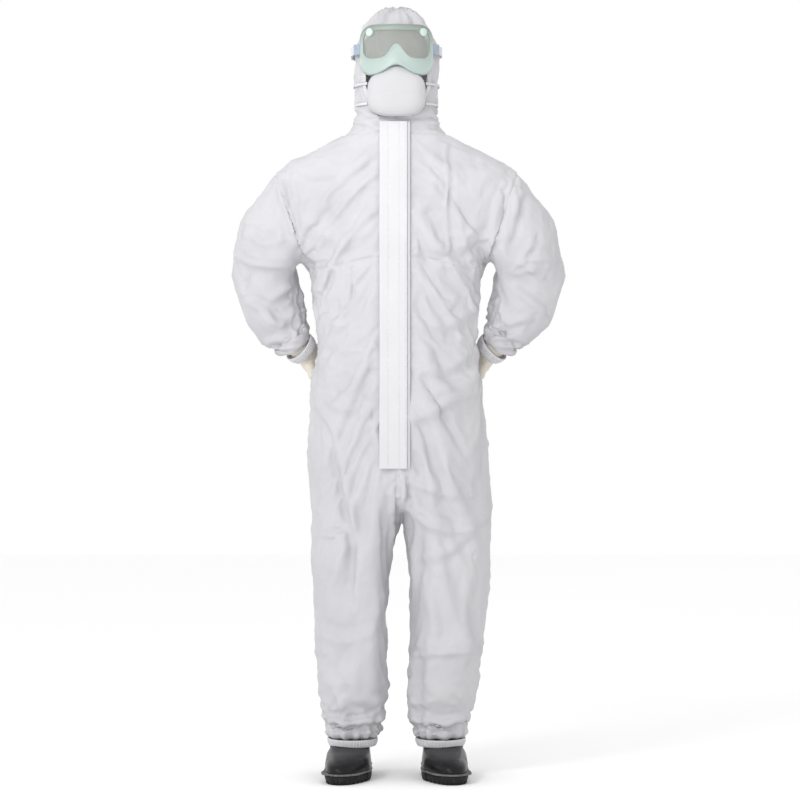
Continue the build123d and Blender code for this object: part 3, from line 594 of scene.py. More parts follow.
def seam_cuts(mesh):
    """Cuts the mesh along every seam, and beside it, and gives each seam's test."""
    offsets = (-0.0035, 0.0, 0.0035)

    def cut(origin, normal, inside):
        for offset in offsets:
            place = Vector(origin) + Vector(normal).normalized() * offset
            faces = [f for f in mesh.faces if inside(*f.calc_center_median())]
            edges = list({e for f in faces for e in f.edges})
            verts = list({v for f in faces for v in f.verts})
            bmesh.ops.bisect_plane(
                mesh, geom=faces + edges + verts, plane_co=place, plane_no=normal, dist=1e-5
            )

    arm_z = ELBOW[2]
    trunk = lambda x: abs(x) < 0.19
    for s in (-1, 1):
        cut((s * SLOT, 0, 0), (1, 0, 0),
            lambda x, y, z: abs(x - s * SLOT) < 0.012 and y < 0 and 0.69 < z < 1.50)
        cut((s * CROWN_HALF, 0, 0), (1, 0, 0),
            lambda x, y, z: abs(x - s * CROWN_HALF) < 0.012 and z > 1.49)
        cut((s * ARMHOLE[0], ARMHOLE[1], ARMHOLE[2]), (s * 0.94, 0, -0.342),
            lambda x, y, z: s * x > 0.19 and z > 1.19
            and abs((abs(x) - ARMHOLE[0]) * 0.94 - (z - ARMHOLE[2]) * 0.342) < 0.02)
        cut((s * ELBOW[0], ELBOW[1], ELBOW[2]), tuple(unit(ELBOW - ARMHOLE) * (s, 1, 1)),
            lambda x, y, z: s * x > 0.22 and 1.10 < z < 1.26)
    cut((0, 0, 0), (1, 0, 0), lambda x, y, z: abs(x) < 0.012 and (y > 0 or z < 0.73) and z < 1.20)
    cut((0, SIDE_Y, 0), (0, 1, 0),
        lambda x, y, z: abs(y - SIDE_Y) < 0.012 and z < 1.50 and (abs(x) < 0.205 or z > 1.36))
    cut((0, 0, CHEST_SEAM), (0, 0, 1), lambda x, y, z: abs(z - CHEST_SEAM) < 0.03 and trunk(x) )
    cut((0, 0, COLLAR_SEAM), (0, 0, 1), lambda x, y, z: abs(z - COLLAR_SEAM) < 0.012)
    cut((0, 0, COLLAR_TOP), (0, 0, 1), lambda x, y, z: abs(z - COLLAR_TOP) < 0.012)


def seam_distance(points, limb):
    """Distance of each point to the nearest seam line."""
    x, y, z = points.T
    front = y < SIDE_Y
    far = np.full(len(points), 9.0)
    trunk, leg, arm = limb == 0, limb == 1, limb == 2
    body = (trunk | leg) & (z < COLLAR_TOP)
    hood = trunk & (z > COLLAR_TOP)
    rows = [
        np.where(body & (z < COLLAR_SEAM + 0.002), np.abs(y - SIDE_Y), far),
        np.where(body & ~front & (z < CHEST_SEAM), np.abs(x), far),
        np.where(body & front & (z < FLAP_LOW.z + 0.02), np.abs(x), far),
        np.where(trunk, np.abs(z - CHEST_SEAM), far),
        np.where(trunk, np.abs(z - COLLAR_SEAM), far),
        np.where(trunk, np.abs(z - COLLAR_TOP), far),
        np.where(hood, np.abs(np.abs(x) - CROWN_HALF), far),
        np.where((z > 1.19) & (np.abs(x) > 0.19), np.abs(armhole_distance(points)), far),
    ]
    return np.min(rows, axis=0)


def panel_names(points, limb):
    """The CAD node that each point of the garment belongs to."""
    x, y, z = points.T
    side = np.where(x > 0, "left_", "right_")
    front = y < SIDE_Y
    names = np.where(front, "front_panel", "back_panel").astype(object)
    names = np.where(front & (z > CHEST_SEAM), "chest_panel", names)
    names = side + names
    names = np.where(~front & (z > CHEST_SEAM), "upper_back_panel", names)
    names = np.where(z > COLLAR_SEAM, side + np.full(len(x), "collar", object), names)
    hood = z > COLLAR_TOP
    names = np.where(hood, side + np.full(len(x), "hood_panel", object), names)
    crown = hood & (np.abs(x) < CROWN_HALF)
    names = np.where(crown, "hood_crown_panel", names)
    names = np.where(crown & (y < 0) & (z < 1.6), "chin_panel", names)
    arm = limb == 2
    mirrored_x = np.column_stack([np.abs(x), y, z])
    beyond = (mirrored_x - ELBOW) @ unit(ELBOW - ARMHOLE) > 0
    near = np.linalg.norm(mirrored_x - WRIST, axis=1) < 0.155
    sleeve = np.where(beyond | near, "forearm_sleeve", "upper_sleeve").astype(object)
    return np.where(arm, side + sleeve, names)


def snapped_to_face(points):
    """Moves the points just inside the face opening's edge out onto it."""
    x, z = points[:, 0], points[:, 2]
    front = (points[:, 1] < 0) & (z > COLLAR_TOP)
    middle = (FACE_LOW + FACE_HIGH) / 2
    inner = inside_face(x, z) & front
    for step in range(30):
        still = inside_face(points[:, 0], points[:, 2]) & front & inner
        points[still, 0] += 0.0002 * np.sign(points[still, 0])
        points[still, 2] += 0.0002 * np.sign(points[still, 2] - middle)
    return points


THICKNESS = 0.0007


def panel_object(name, points, normals, faces):
    """A panel of cloth with thickness, from its faces in the whole garment."""
    used = np.unique(np.concatenate([np.asarray(f) for f in faces]))
    place = {int(v): i for i, v in enumerate(used)}
    count = len(used)
    outer = points[used]
    inner = outer - normals[used] * THICKNESS
    front_faces = [tuple(place[v] for v in f) for f in faces]
    back_faces = [tuple(v + count for v in f[::-1]) for f in front_faces]
    once = {}
    for f in front_faces:
        for a, b in zip(f, f[1:] + f[:1]):
            if (b, a) in once:
                del once[(b, a)]
            else:
                once[(a, b)] = True
    rim = [(b, a, a + count, b + count) for a, b in once]
    made = new_object(name, np.concatenate([outer, inner]), front_faces + back_faces + rim)
    made.data.shade_smooth()
    both = np.concatenate([normals[used], -normals[used]])
    made.data.normals_split_custom_set_from_vertices([tuple(n) for n in both])
    return made


garment = garment_volume(0.0, VOXEL, 6)
set_coordinates(garment, stance(coordinates(garment)))
crumple(garment, 24, 0.07, 0.7, 0.026)
subdivided(garment)
apply_folds(garment, FRONT_FOLDS + BACK_FOLDS)
points = coordinates(garment)
height = pleats(points)
set_coordinates(garment, points + vertex_normals(garment) * height[:, None])
creases(garment, 9.0, 0.0013, 1, calm)
creases(garment, 26.0, 0.00045, 2)

mesh = bmesh.new()
mesh.from_mesh(garment.data)
seam_cuts(mesh)
whole = mesh.verts[:] + mesh.edges[:] + mesh.faces[:]
bmesh.ops.bisect_plane(
    mesh, geom=whole, plane_co=(0, 0, HEM + 0.007), plane_no=(0, 0, -1), clear_outer=True
)
for s in (-1, 1):
    end = Vector(WRIST * (s, 1, 1)) + Vector(unit(HAND) * (s, 1, 1)) * 0.006
    arm = [f for f in mesh.faces if (f.calc_center_median() - end).length < 0.075
           and s * f.calc_center_median().x > 0.19]
    geom = arm + list({e for f in arm for e in f.edges}) + list({v for f in arm for v in f.verts})
    bmesh.ops.bisect_plane(
        mesh, geom=geom, plane_co=end, plane_no=unit(HAND) * (s, 1, 1), clear_outer=True
    )
mesh.to_mesh(garment.data)
mesh.free()
points = coordinates(garment)
limb = limb_of(points)
ditch = seam_distance(points, limb)
normals = vertex_normals(garment)
pucker = np.array([noise.noise(Vector(p) * 55.0) for p in points])
depth = 0.0016 * np.exp(-((ditch / 0.0022) ** 2))
depth -= (0.0009 + 0.0022 * pucker) * np.exp(-(((ditch - 0.006) / 0.005) ** 2))
points = points - normals * depth[:, None]
points = snapped_to_face(points)
dip = 1 - 2 * smooth_step((np.abs(points[:, 0]) - 0.03) / 0.14)
dip *= bump(points[:, 2], CHEST_SEAM - 0.09, CHEST_SEAM + 0.09) * (limb == 0)
dip *= smooth_step((SIDE_Y - points[:, 1]) / 0.05)
points[:, 2] += 0.012 * dip
set_coordinates(garment, points)
normals = vertex_normals(garment)

faces = [tuple(p.vertices) for p in garment.data.polygons]
centres = np.array([points[list(f)].mean(0) for f in faces])
face_limb = limb_of(centres)
names = panel_names(centres, face_limb)
gone = inside_face(centres[:, 0], centres[:, 2]) & (centres[:, 1] < 0) & (centres[:, 2] > COLLAR_TOP)
gone |= (
    (np.abs(centres[:, 0]) < SLOT) & (centres[:, 1] < 0)
    & (centres[:, 2] > FLAP_LOW.z + 0.013) & (centres[:, 2] < COLLAR_TOP - 0.011)
)
bpy.data.objects.remove(garment)
panels = {}
for name in sorted(set(names)):
    chosen = [faces[i] for i in np.nonzero((names == name) & ~gone)[0]]
    if chosen:
        panels[name] = panel_object(name + "_cloth", points, normals, chosen)


# ------------------------------------------------------------------ materials
class Finish:
    """A node material built up from a base colour, a patterned tint and layered bumps."""

    def __init__(self, name, colour, roughness, **sockets):
        self.made = bpy.data.materials.new(name)
        self.made.use_nodes = True
        self.tree = self.made.node_tree
        self.shader = self.tree.nodes["Principled BSDF"]
        self.shader.inputs["Base Color"].default_value = (*colour, 1)
        self.shader.inputs["Roughness"].default_value = roughness
        for socket, value in sockets.items():
            self.shader.inputs[socket.replace("_", " ")].default_value = value
        self.colour = colour
        self.place = self.tree.nodes.new("ShaderNodeTexCoord").outputs["Object"]

    def node(self, kind, **inputs):
        made = self.tree.nodes.new(kind)
        for socket, value in inputs.items():
            entry = made.inputs[socket.replace("_", " ")]
            if hasattr(value, "links"):
                self.tree.links.new(value, entry)
            else:
                entry.default_value = value
        return made

    def noise(self, scale, detail=3.0, stretch=(1, 1, 1)):
        place = self.node("ShaderNodeMapping", Vector=self.place, Scale=stretch).outputs[0]
        return self.node("ShaderNodeTexNoise", Vector=place, Scale=scale, Detail=detail).outputs[0]

    def cells(self, scale):
        return self.node("ShaderNodeTexVoronoi", Vector=self.place, Scale=scale).outputs["Distance"]

    def tint(self, field, low, high, other):
        """Colour runs from the base to another one as the field goes from low to high."""
        ramp = self.tree.nodes.new("ShaderNodeValToRGB")
        ramp.color_ramp.elements[0].position = low
        ramp.color_ramp.elements[1].position = high
        ramp.color_ramp.elements[0].color = (*self.colour, 1)
        ramp.color_ramp.elements[1].color = (*other, 1)
        self.tree.links.new(field, ramp.inputs[0])
        self.tree.links.new(ramp.outputs[0], self.shader.inputs["Base Color"])
        return self

    def bump(self, field, depth, strength=1.0):
        made = self.node("ShaderNodeBump", Height=field, Distance=depth, Strength=strength)
        before = self.shader.inputs["Normal"].links
        if before:
            self.tree.links.new(before[0].from_socket, made.inputs["Normal"])
        self.tree.links.new(made.outputs[0], self.shader.inputs["Normal"])
        return self

    def rough(self, field, low, high):
        span = self.node("ShaderNodeMapRange", Value=field, To_Min=low, To_Max=high)
        self.tree.links.new(span.outputs[0], self.shader.inputs["Roughness"])
        return self


def fabric_finish(name, colour, shade):
    made = Finish(
        name, colour, 0.86, Sheen_Weight=0.10, Sheen_Roughness=0.4, IOR=1.35,
        Transmission_Weight=0.22,
    )
    made.tint(made.noise(9.0, 5.0), 0.42, 0.72, shade)
    made.bump(made.noise(900.0, 2.0), 0.00008, 0.5)
    made.bump(made.noise(240.0, 3.0, (1, 1, 0.35)), 0.00014, 0.5)
    made.bump(made.cells(620.0), 0.00012, 0.6)
    return made.made


FABRIC = fabric_finish("nonwoven_fabric", (0.650, 0.646, 0.668), (0.605, 0.596, 0.622))
# Storm flap cloth: a lighter copy of the suit's nonwoven, painted light that draws the flap brighter
# than the same cloth elsewhere.
FLAP_FABRIC_PAINTED_LIGHT = fabric_finish("nonwoven_flap_painted_light", (0.740, 0.737, 0.755), (0.710, 0.707, 0.728))
finish = Finish("ribbed_elastic", (0.60, 0.598, 0.62), 0.9, Sheen_Weight=0.2)
finish.tint(finish.noise(160.0), 0.4, 0.7, (0.55, 0.545, 0.57))
ELASTIC = finish.bump(finish.noise(700.0, 2.0, (1, 1, 3)), 0.0002, 0.7).made
finish = Finish("woven_tape", (0.60, 0.60, 0.62), 0.85)
finish.tint(finish.noise(300.0), 0.4, 0.7, (0.66, 0.66, 0.69))
TAPE = finish.bump(finish.noise(1500.0, 1.0, (1, 1, 0.2)), 0.0001, 0.6).made
finish = Finish("nylon_coil", (0.60, 0.60, 0.62), 0.38)
COIL = finish.tint(finish.noise(90.0), 0.4, 0.7, (0.64, 0.64, 0.66)).made
finish = Finish("painted_metal", (0.66, 0.66, 0.68), 0.32, Metallic=0.35)
finish.tint(finish.noise(220.0, 5.0), 0.62, 0.72, (0.42, 0.42, 0.44))
PAINTED = finish.rough(finish.noise(120.0), 0.25, 0.45).made
finish = Finish("release_paper", (0.78, 0.77, 0.72), 0.42, Coat_Weight=0.15)
finish.tint(finish.noise(40.0), 0.4, 0.7, (0.74, 0.73, 0.68))
PAPER = finish.bump(finish.noise(60.0), 0.0002, 0.4).made
finish = Finish("soft_vinyl", (0.52, 0.62, 0.585), 0.34, Transmission_Weight=0.30, IOR=1.40)
# The frame's colour turns darker from z 1.655 up to 1.698: painted shade on the frame's upper wall.
height = finish.node("ShaderNodeSeparateXYZ", Vector=finish.place).outputs["Z"]
height = finish.node("ShaderNodeMapRange", Value=height, From_Min=1.655, From_Max=1.698)
finish.tint(height.outputs[0], 0.0, 1.0, (0.34, 0.395, 0.352))
finish.rough(finish.noise(50.0), 0.24, 0.42)
GOGGLE_VINYL_SHADED_TOP = finish.bump(finish.noise(420.0, 2.0), 0.0001, 0.3).made
finish = Finish("clear_lens", (0.84, 0.86, 0.82), 0.06, Transmission_Weight=0.82, IOR=1.2)
finish.tint(finish.noise(25.0), 0.55, 0.85, (0.80, 0.83, 0.79))
LENS = finish.rough(finish.noise(15.0, 5.0), 0.04, 0.12).made
finish = Finish("vent_plastic", (0.55, 0.65, 0.61), 0.38)
VENT = finish.tint(finish.noise(70.0), 0.4, 0.7, (0.50, 0.60, 0.56)).made
finish = Finish("clip_plastic", (0.26, 0.33, 0.42), 0.34, Coat_Weight=0.3)
CLIP = finish.tint(finish.noise(90.0), 0.4, 0.7, (0.33, 0.40, 0.49)).made
finish = Finish("strap_weave", (0.66, 0.66, 0.69), 0.85, Sheen_Weight=0.2)
finish.tint(finish.noise(400.0, 2.0, (1, 1, 0.15)), 0.4, 0.6, (0.56, 0.56, 0.60))
STRAP = finish.bump(finish.noise(800.0, 2.0, (1, 1, 0.1)), 0.0002, 0.8).made
finish = Finish("moulded_felt", (0.50, 0.50, 0.515), 0.92, Sheen_Weight=0.25)
finish.tint(finish.noise(35.0, 6.0), 0.45, 0.75, (0.50, 0.50, 0.518))
finish.bump(finish.noise(500.0, 4.0), 0.00025, 0.6)
FELT = finish.bump(finish.cells(330.0), 0.00025, 0.5).made
finish = Finish("aluminium", (0.70, 0.70, 0.72), 0.35, Metallic=1.0)
ALUMINIUM = finish.rough(finish.noise(300.0, 2.0, (1, 8, 1)), 0.28, 0.5).made
finish = Finish("grey_foam", (0.50, 0.50, 0.52), 0.95)
finish.tint(finish.cells(900.0), 0.1, 0.5, (0.42, 0.42, 0.44))
FOAM = finish.bump(finish.cells(900.0), 0.0004, 0.8).made
finish = Finish("latex_strap", (0.62, 0.62, 0.63), 0.6)
YELLOW = finish.tint(finish.noise(80.0), 0.4, 0.7, (0.57, 0.57, 0.58)).made
finish = Finish("bright_steel", (0.62, 0.62, 0.64), 0.22, Metallic=1.0)
STEEL = finish.rough(finish.noise(200.0), 0.18, 0.35).made
finish = Finish("latex_glove", (0.66, 0.615, 0.545), 0.58, Subsurface_Weight=0.06)
finish.tint(finish.noise(45.0, 5.0), 0.4, 0.75, (0.60, 0.555, 0.48))
finish.bump(finish.noise(350.0, 3.0), 0.00025, 0.5)
GLOVE = finish.bump(finish.noise(60.0, 4.0), 0.0009, 0.5).made
finish = Finish("black_rubber", (0.007, 0.007, 0.008), 0.3, IOR=1.30)
finish.tint(finish.noise(60.0, 6.0), 0.5, 0.8, (0.014, 0.0135, 0.013))
finish.rough(finish.noise(22.0, 5.0), 0.20, 0.40)
RUBBER = finish.bump(finish.noise(160.0, 3.0), 0.0003, 0.35).made
finish = Finish("grey_welt", (0.085, 0.085, 0.088), 0.6)
finish.tint(finish.noise(130.0, 4.0), 0.45, 0.7, (0.15, 0.15, 0.148))
WELT = finish.bump(finish.noise(500.0, 2.0), 0.0003, 0.6).made
finish = Finish("sole_rubber", (0.010, 0.010, 0.010), 0.65, IOR=1.3)
finish.tint(finish.noise(90.0, 5.0), 0.5, 0.8, (0.028, 0.027, 0.025))
SOLE = finish.bump(finish.noise(400.0, 3.0), 0.0004, 0.6).made
finish = Finish("insole_felt", (0.11, 0.11, 0.115), 0.95)
finish.tint(finish.noise(300.0), 0.4, 0.7, (0.16, 0.16, 0.165))
INSOLE = finish.bump(finish.noise(700.0), 0.0003, 0.7).made
finish = Finish("thread", (0.70, 0.70, 0.73), 0.8)
THREAD = finish.tint(finish.noise(900.0), 0.4, 0.7, (0.60, 0.60, 0.64)).made


def dress(obj, material, body=None, replaces=()):
    obj.data.materials.clear()
    obj.data.materials.append(material)
    if body:
        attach(obj, body)
    if replaces:
        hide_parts(*replaces)
    return obj


def smoothed(obj, levels=1):
    obj.data.shade_smooth()
    if levels:
        finer = obj.modifiers.new("finer", "SUBSURF")
        finer.levels = finer.render_levels = levels
        baked(obj)
        obj.data.shade_smooth()
    return obj


def grid_faces(rows, count, closed=True):
    """Quads over a grid of points, whose rows may close on themselves."""
    around = count if closed else count - 1
    return [
        (i * count + k, i * count + (k + 1) % count,
         (i + 1) * count + (k + 1) % count, (i + 1) * count + k)
        for i in range(rows - 1) for k in range(around)
    ]


def tube_wall(name, rings):
    """A closed wall: rings that run out, over the edge and back inside to the first."""
    rows, count = len(rings), len(rings[0])
    loop = list(rings) + [rings[0]]
    faces = grid_faces(rows + 1, count)
    faces = [tuple(v % (rows * count) for v in f) for f in faces]
    made = new_object(name, np.concatenate(rings), faces)
    mesh = bmesh.new()
    mesh.from_mesh(made.data)
    bmesh.ops.recalc_face_normals(mesh, faces=mesh.faces)
    mesh.to_mesh(made.data)
    mesh.free()
    made.data.shade_smooth()
    return made


def wire(name, path, radius, sides=6):
    """A round wire along a row of points."""
    path = np.asarray(path, float)
    along = np.gradient(path, axis=0)
    along /= np.linalg.norm(along, axis=1, keepdims=True)
    ref = np.where(np.abs(along[:, 2:3]) > 0.9, [[1.0, 0, 0]], [[0, 0, 1.0]])
    u = np.cross(along, ref)
    u /= np.linalg.norm(u, axis=1, keepdims=True)
    v = np.cross(along, u)
    turn = np.linspace(0, 2 * np.pi, sides, endpoint=False)
    rows = path[:, None] + radius * (
        np.cos(turn)[None, :, None] * u[:, None] + np.sin(turn)[None, :, None] * v[:, None]
    )
    faces = grid_faces(len(path), sides)
    faces += [tuple(range(sides))[::-1], tuple(range((len(path) - 1) * sides, len(path) * sides))]
    made = new_object(name, rows.reshape(-1, 3), faces)
    made.data.shade_smooth()
    return made


# ------------------------------------------------------------------ the panels' bodies
ELBOW_SPAN = 0.075
for name, panel in panels.items():
    panel.data.materials.append(FABRIC)
    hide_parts(name)
    side = name.split("_")[0]
    s = np.array([1 if side == "left" else -1, 1, 1])
    lower = unit(WRIST - ELBOW)
    upper = unit(ELBOW - ARMHOLE)
    if name.endswith("upper_sleeve"):
        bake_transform(panel)
    elif name.endswith("forearm_sleeve"):
        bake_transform(panel)
    elif "hood" in name or "chin" in name:
        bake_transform(panel)
    else:
        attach(panel, "suit")

# ------------------------------------------------------------------ elastics
def gathered_band(name, sections, ribs, depth, wall):
    """A ribbed elastic band through rings that share one centre line."""
    count = len(sections[0])
    turn = np.linspace(0, 2 * np.pi, count, endpoint=False)
    rows = []
    for i, (section, swell) in enumerate(sections_with_swell(sections)):
        centre = section.mean(0)
        out = section - centre
        out /= np.linalg.norm(out, axis=1, keepdims=True)
        rib = depth * np.sin(turn * ribs + 0.8 * np.sin(turn * 5 + i * 0.5)) * swell
        rows.append(section + out * (rib + swell * wall * 0.6)[:, None])
    inner = []
    for section in sections[::-1]:
        centre = section.mean(0)
        out = section - centre
        out /= np.linalg.norm(out, axis=1, keepdims=True)
        inner.append(section - out * wall)
    return tube_wall(name, rows + inner)


def sections_with_swell(sections):
    last = len(sections) - 1
    return [(s, math.sin(math.pi * (0.08 + 0.84 * i / last))) for i, s in enumerate(sections)]


for side, s in (("left", 1), ("right", -1)):
    ankle = triangles_of("left_ankle_elastic")
    low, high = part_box("left_ankle_elastic")
    outline = ring(ankle, (0.101, 0.044, (low.z + high.z) / 2), count=384)
    heights = np.linspace(low.z, high.z + 0.004, 7)
    out = (outline - outline.mean(0)) * (1, 1, 0)
    out /= np.linalg.norm(out, axis=1, keepdims=True)
    sections = []
    for i, z in enumerate(heights):
        wide = outline + out * 0.0007 * i
        sections.append(np.column_stack([wide[:, 0] * s, wide[:, 1], np.full(384, z)]))
    made = gathered_band(f"{side}_ankle_band", sections, 64, 0.0011, 0.0022)
    dress(made, ELASTIC, "suit", [f"{side}_ankle_elastic"])
    cuff = triangles_of("left_cuff_elastic")
    along = (cuff.reshape(-1, 3) - WRIST) @ unit(HAND)
    outline = ring(cuff, WRIST + unit(HAND) * (along.min() + along.max()) / 2, HAND, count=320)
    middle = (along.min() + along.max()) / 2
    spots = np.linspace(along.min() - 0.006, along.max(), 8)
    out = outline - outline.mean(0)
    out /= np.linalg.norm(out, axis=1, keepdims=True)
    sections = []
    for i, t in enumerate(spots):
        wide = outline + out * 0.0006 * (7 - i)
        sections.append((wide + unit(HAND) * (t - middle)) * (s, 1, 1))
    made = gathered_band(f"{side}_cuff_band", sections, 50, 0.0011, 0.0022)
    dress(made, ELASTIC, f"{side}_forearm", [f"{side}_cuff_elastic"])


def hood_front(x, z):
    """How far forward the CAD hood's skin lies at points seen from the front."""
    heights = np.array([1.4955, 1.535, 1.578, 1.632, 1.675, 1.707, 1.733])
    half = np.interp(z, heights, [0.092, 0.091, 0.095, 0.099, 0.094, 0.076, 0.054])
    depth = np.interp(z, heights, [0.072, 0.088, 0.105, 0.114, 0.111, 0.093, 0.068])
    middle = np.interp(z, heights, [0.0003, 0.0163, 0.0243, 0.0283, 0.0283, 0.0303, 0.0323])
    return middle - depth * np.sqrt(np.clip(1 - (x / half) ** 2, 0.02, 1))


def face_outline(margin, count=480):
    """Points round the face opening, that much inside the cloth's edge."""
    middle = (FACE_LOW + FACE_HIGH) / 2
    tall = (FACE_HIGH - FACE_LOW) / 2 - margin
    half, turn = FACE_HALF - margin, FACE_ROUND - margin
    corner = np.linspace(0, np.pi / 2, count // 8)
    x, z = [], []
    for quarter in range(4):
        sx, sz = ((1, 1), (-1, 1), (-1, -1), (1, -1))[quarter]
        arc = corner if sx * sz > 0 else corner[::-1]
        x += list(sx * (half - turn + turn * np.cos(arc)))
        z += list(sz * (tall - turn + turn * np.sin(arc)))
    x, z = np.array(x), np.array(z) + middle
    row = np.column_stack([x, z])
    steps = np.linalg.norm(np.diff(np.vstack([row, row[:1]]), axis=0), axis=1)
    run = np.concatenate([[0], np.cumsum(steps)])
    even = np.linspace(0, run[-1], count, endpoint=False)
    closed = np.vstack([row, row[:1]])
    return np.column_stack([np.interp(even, run, closed[:, i]) for i in (0, 1)])


count = 480
turn = np.linspace(0, 2 * np.pi, count, endpoint=False)
rows = []
for t in np.linspace(0, 2 * np.pi, 12, endpoint=False):
    margin = 0.0035 - 0.0048 * math.cos(t)
    flat = face_outline(margin, count)
    lift = 0.0026 * math.sin(t) + 0.0009 * np.sin(turn * 88 + 1.5 * np.sin(turn * 11))
    rows.append(np.column_stack([flat[:, 0], hood_front(flat[:, 0], flat[:, 1]) - lift, flat[:, 1]]))
face_band = tube_wall("face_band", rows)
face_band.data.materials.append(ELASTIC)
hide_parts("face_elastic")
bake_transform(face_band)

# ------------------------------------------------------------------ storm flap
def front_y(z):
    """The centre front line of the suit's chest and belly."""
    return -0.10665 + (z - 0.705) * 0.04453


def flap_sheet(name, left, right, bottom, top, lift, thick, columns, rows, stitches, edge):
    """A doubled strip of cloth lying on the front, with pressed-in stitch lines."""
    x, z = np.meshgrid(np.linspace(left, right, columns), np.linspace(bottom, top, rows))
    x, z = x.ravel(), z.ravel()
    wave = np.array([noise.noise(Vector((a * 9, 3.1, b * 7))) for a, b in zip(x, z)])
    fine = np.array([noise.noise(Vector((a * 40, 9.1, b * 28))) for a, b in zip(x, z)])
    height = 0.0011 * wave + 0.0005 * fine
    for line in stitches:
        near = np.exp(-(((x - line) / 0.0012) ** 2))
        height -= 0.0007 * near
        height += 0.0004 * np.exp(-(((x - line) / 0.004) ** 2)) * np.sin(z * 900 + 2 * wave)
    free = np.exp(-((x - left) / 0.010) ** 2)
    height += edge * free * (0.6 + 0.8 * np.sin(z * 17 + 1.0) * wave)
    y = front_y(z) - lift - height
    outer = np.column_stack([x + edge * 0.5 * wave * free, y, z])
    inner = outer + (0, thick, 0)
    count = rows * columns
    faces = grid_faces(rows, columns, False)
    back = [tuple(v + count for v in f[::-1]) for f in faces]
    border = (
        list(range(columns)) + [r * columns + columns - 1 for r in range(1, rows)]
        + [count - 1 - k for k in range(1, columns)]
        + [r * columns for r in range(rows - 2, 0, -1)]
    )
    rim = [(b, a, a + count, b + count) for a, b in zip(border, border[1:] + border[:1])]
    made = new_object(name, np.concatenate([outer, inner]), faces + back + rim)
    made.data.shade_smooth()
    return made


FLAP_LIFT = 0.0078
flap = flap_sheet("flap_cloth", FLAP_LOW.x, FLAP_HIGH.x, FLAP_LOW.z, FLAP_HIGH.z, FLAP_LIFT,
                  0.0014, 44, 460, (-0.0185, 0.0065, 0.0205), 0.0016)
# The flap is dressed in the lighter copy of the fabric: painted light.
dress(flap, FLAP_FABRIC_PAINTED_LIGHT, "flap", ["storm_flap"])
welt = flap_sheet("flap_edging", 0.0244, 0.0306, FLAP_LOW.z, FLAP_HIGH.z, 0.0055,
                  0.0042, 9, 300, (0.0276,), 0.0)
dress(welt, FABRIC, "suit", ["flap_seam"])


def stitch_row(name, x, bottom, top, lift, body, pitch=0.0042):
    """A row of stitches up the front, each a short thread that dives at both ends."""
    points, faces = [], []
    for z in np.arange(bottom, top - pitch, pitch):
        start = len(points)
        for t in (0, 0.2, 0.5, 0.8, 1):
            rise = 0.00035 * math.sin(math.pi * t)
            centre = (x, front_y(z) - lift - rise + 0.0001, z + 0.0030 * t)
            for turn in range(5):
                a = 2 * math.pi * turn / 5
                points.append((centre[0] + 0.00028 * math.cos(a), centre[1] + 0.00028 * math.sin(a),
                               centre[2]))
        faces += [tuple(v + start for v in f) for f in grid_faces(5, 5)]
        faces += [tuple(start + v for v in (4, 3, 2, 1, 0)),
                  tuple(start + v for v in (20, 21, 22, 23, 24))]
    made = new_object(name, points, faces)
    made.data.shade_smooth()
    return dress(made, THREAD, body)


for i, x in enumerate((-0.0185, 0.0065, 0.0205)):
    stitch_row(f"flap_stitches_{i}", x, FLAP_LOW.z + 0.004, FLAP_HIGH.z - 0.004,
               FLAP_LIFT - 0.0004, "flap")

# ------------------------------------------------------------------ zip
ZIP_LOW, ZIP_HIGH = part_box("left_zip_coil")
for side, s in (("left", 1), ("right", -1)):
    low, high = ZIP_LOW.z, ZIP_HIGH.z
    turns = int((high - low) / 0.0016)
    t = np.linspace(0, turns * 2 * np.pi, turns * 8)
    z = low + (high - low) * t / t[-1]
    path = np.column_stack([
        s * (0.00275 + 0.00115 * np.cos(t)),
        front_y(z) + 0.0012 - 0.0021 - 0.0009 * np.sin(t),
        z + s * 0.0004,
    ])
    coil = wire(f"{side}_coil", path, 0.00032, 5)
    dress(coil, COIL, "suit", [f"{side}_zip_coil"])

# ------------------------------------------------------------------ mask
MASK_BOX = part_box("mask_shell")
MASK_Z = (MASK_BOX[0].z + MASK_BOX[1].z) / 2
MASK_FRONT = MASK_BOX[0].y


def mask_point(v, u, inset):
    """A point of the mask's cup: v from the middle to the rim, u round it."""
    half = np.array([0.066, 0.0512]) - inset
    round_ = np.sin(v * np.pi / 2) ** 0.82
    across, up = (np.sign(t) * np.abs(t) ** 0.66 for t in (np.cos(u), np.sin(u)))
    x = half[0] * round_ * across
    z = half[1] * round_ * up
    z += 0.0170 * v**2 * np.clip(np.sin(u), 0, 1) ** 3 * np.exp(-((x / 0.034) ** 2))
    edge_x = half[0] * across
    rim = 0.01435 - 0.088 * np.sqrt(1 - (edge_x / 0.0945) ** 2)
    dome = (1 - np.clip(v, 0, 1) ** 2.3) ** (1 / 2.0)
    y = rim + (MASK_FRONT + 0.0012 + inset - rim) * dome
    ridge = 0.0016 * np.exp(-(((v - 0.74) / 0.030) ** 2)) + 0.0010 * np.exp(
        -(((v - 0.90) / 0.02) ** 2)
    )
    fold = 0.0009 * np.exp(-((z / 0.0022) ** 2)) * (v < 0.9)
    nose = 0.0025 * np.exp(-(((x) / 0.016) ** 2)) * np.clip(z / 0.04, 0, 1) ** 2
    return np.stack([x, y - ridge + fold - nose, z + MASK_Z], -1)


u = np.linspace(0, 2 * np.pi, 128, endpoint=False)
rows = [mask_point(np.full(128, v), u, 0.0) for v in np.linspace(0.03, 1.0, 44)]
rows += [mask_point(np.full(128, v), u, 0.0022) + (0, 0.0004, 0) for v in np.linspace(1.0, 0.03, 30)]
points = np.concatenate(rows)
faces = grid_faces(len(rows), 128)
faces += [tuple(range(128))[::-1], tuple(range((len(rows) - 1) * 128, len(rows) * 128))]
mask = new_object("mask_cup", points, faces)
mask.data.shade_smooth()
dress(mask, FELT, "mask", ["mask_shell"])

# ------------------------------------------------------------------ goggles
GOGGLE_Y = 0.02835


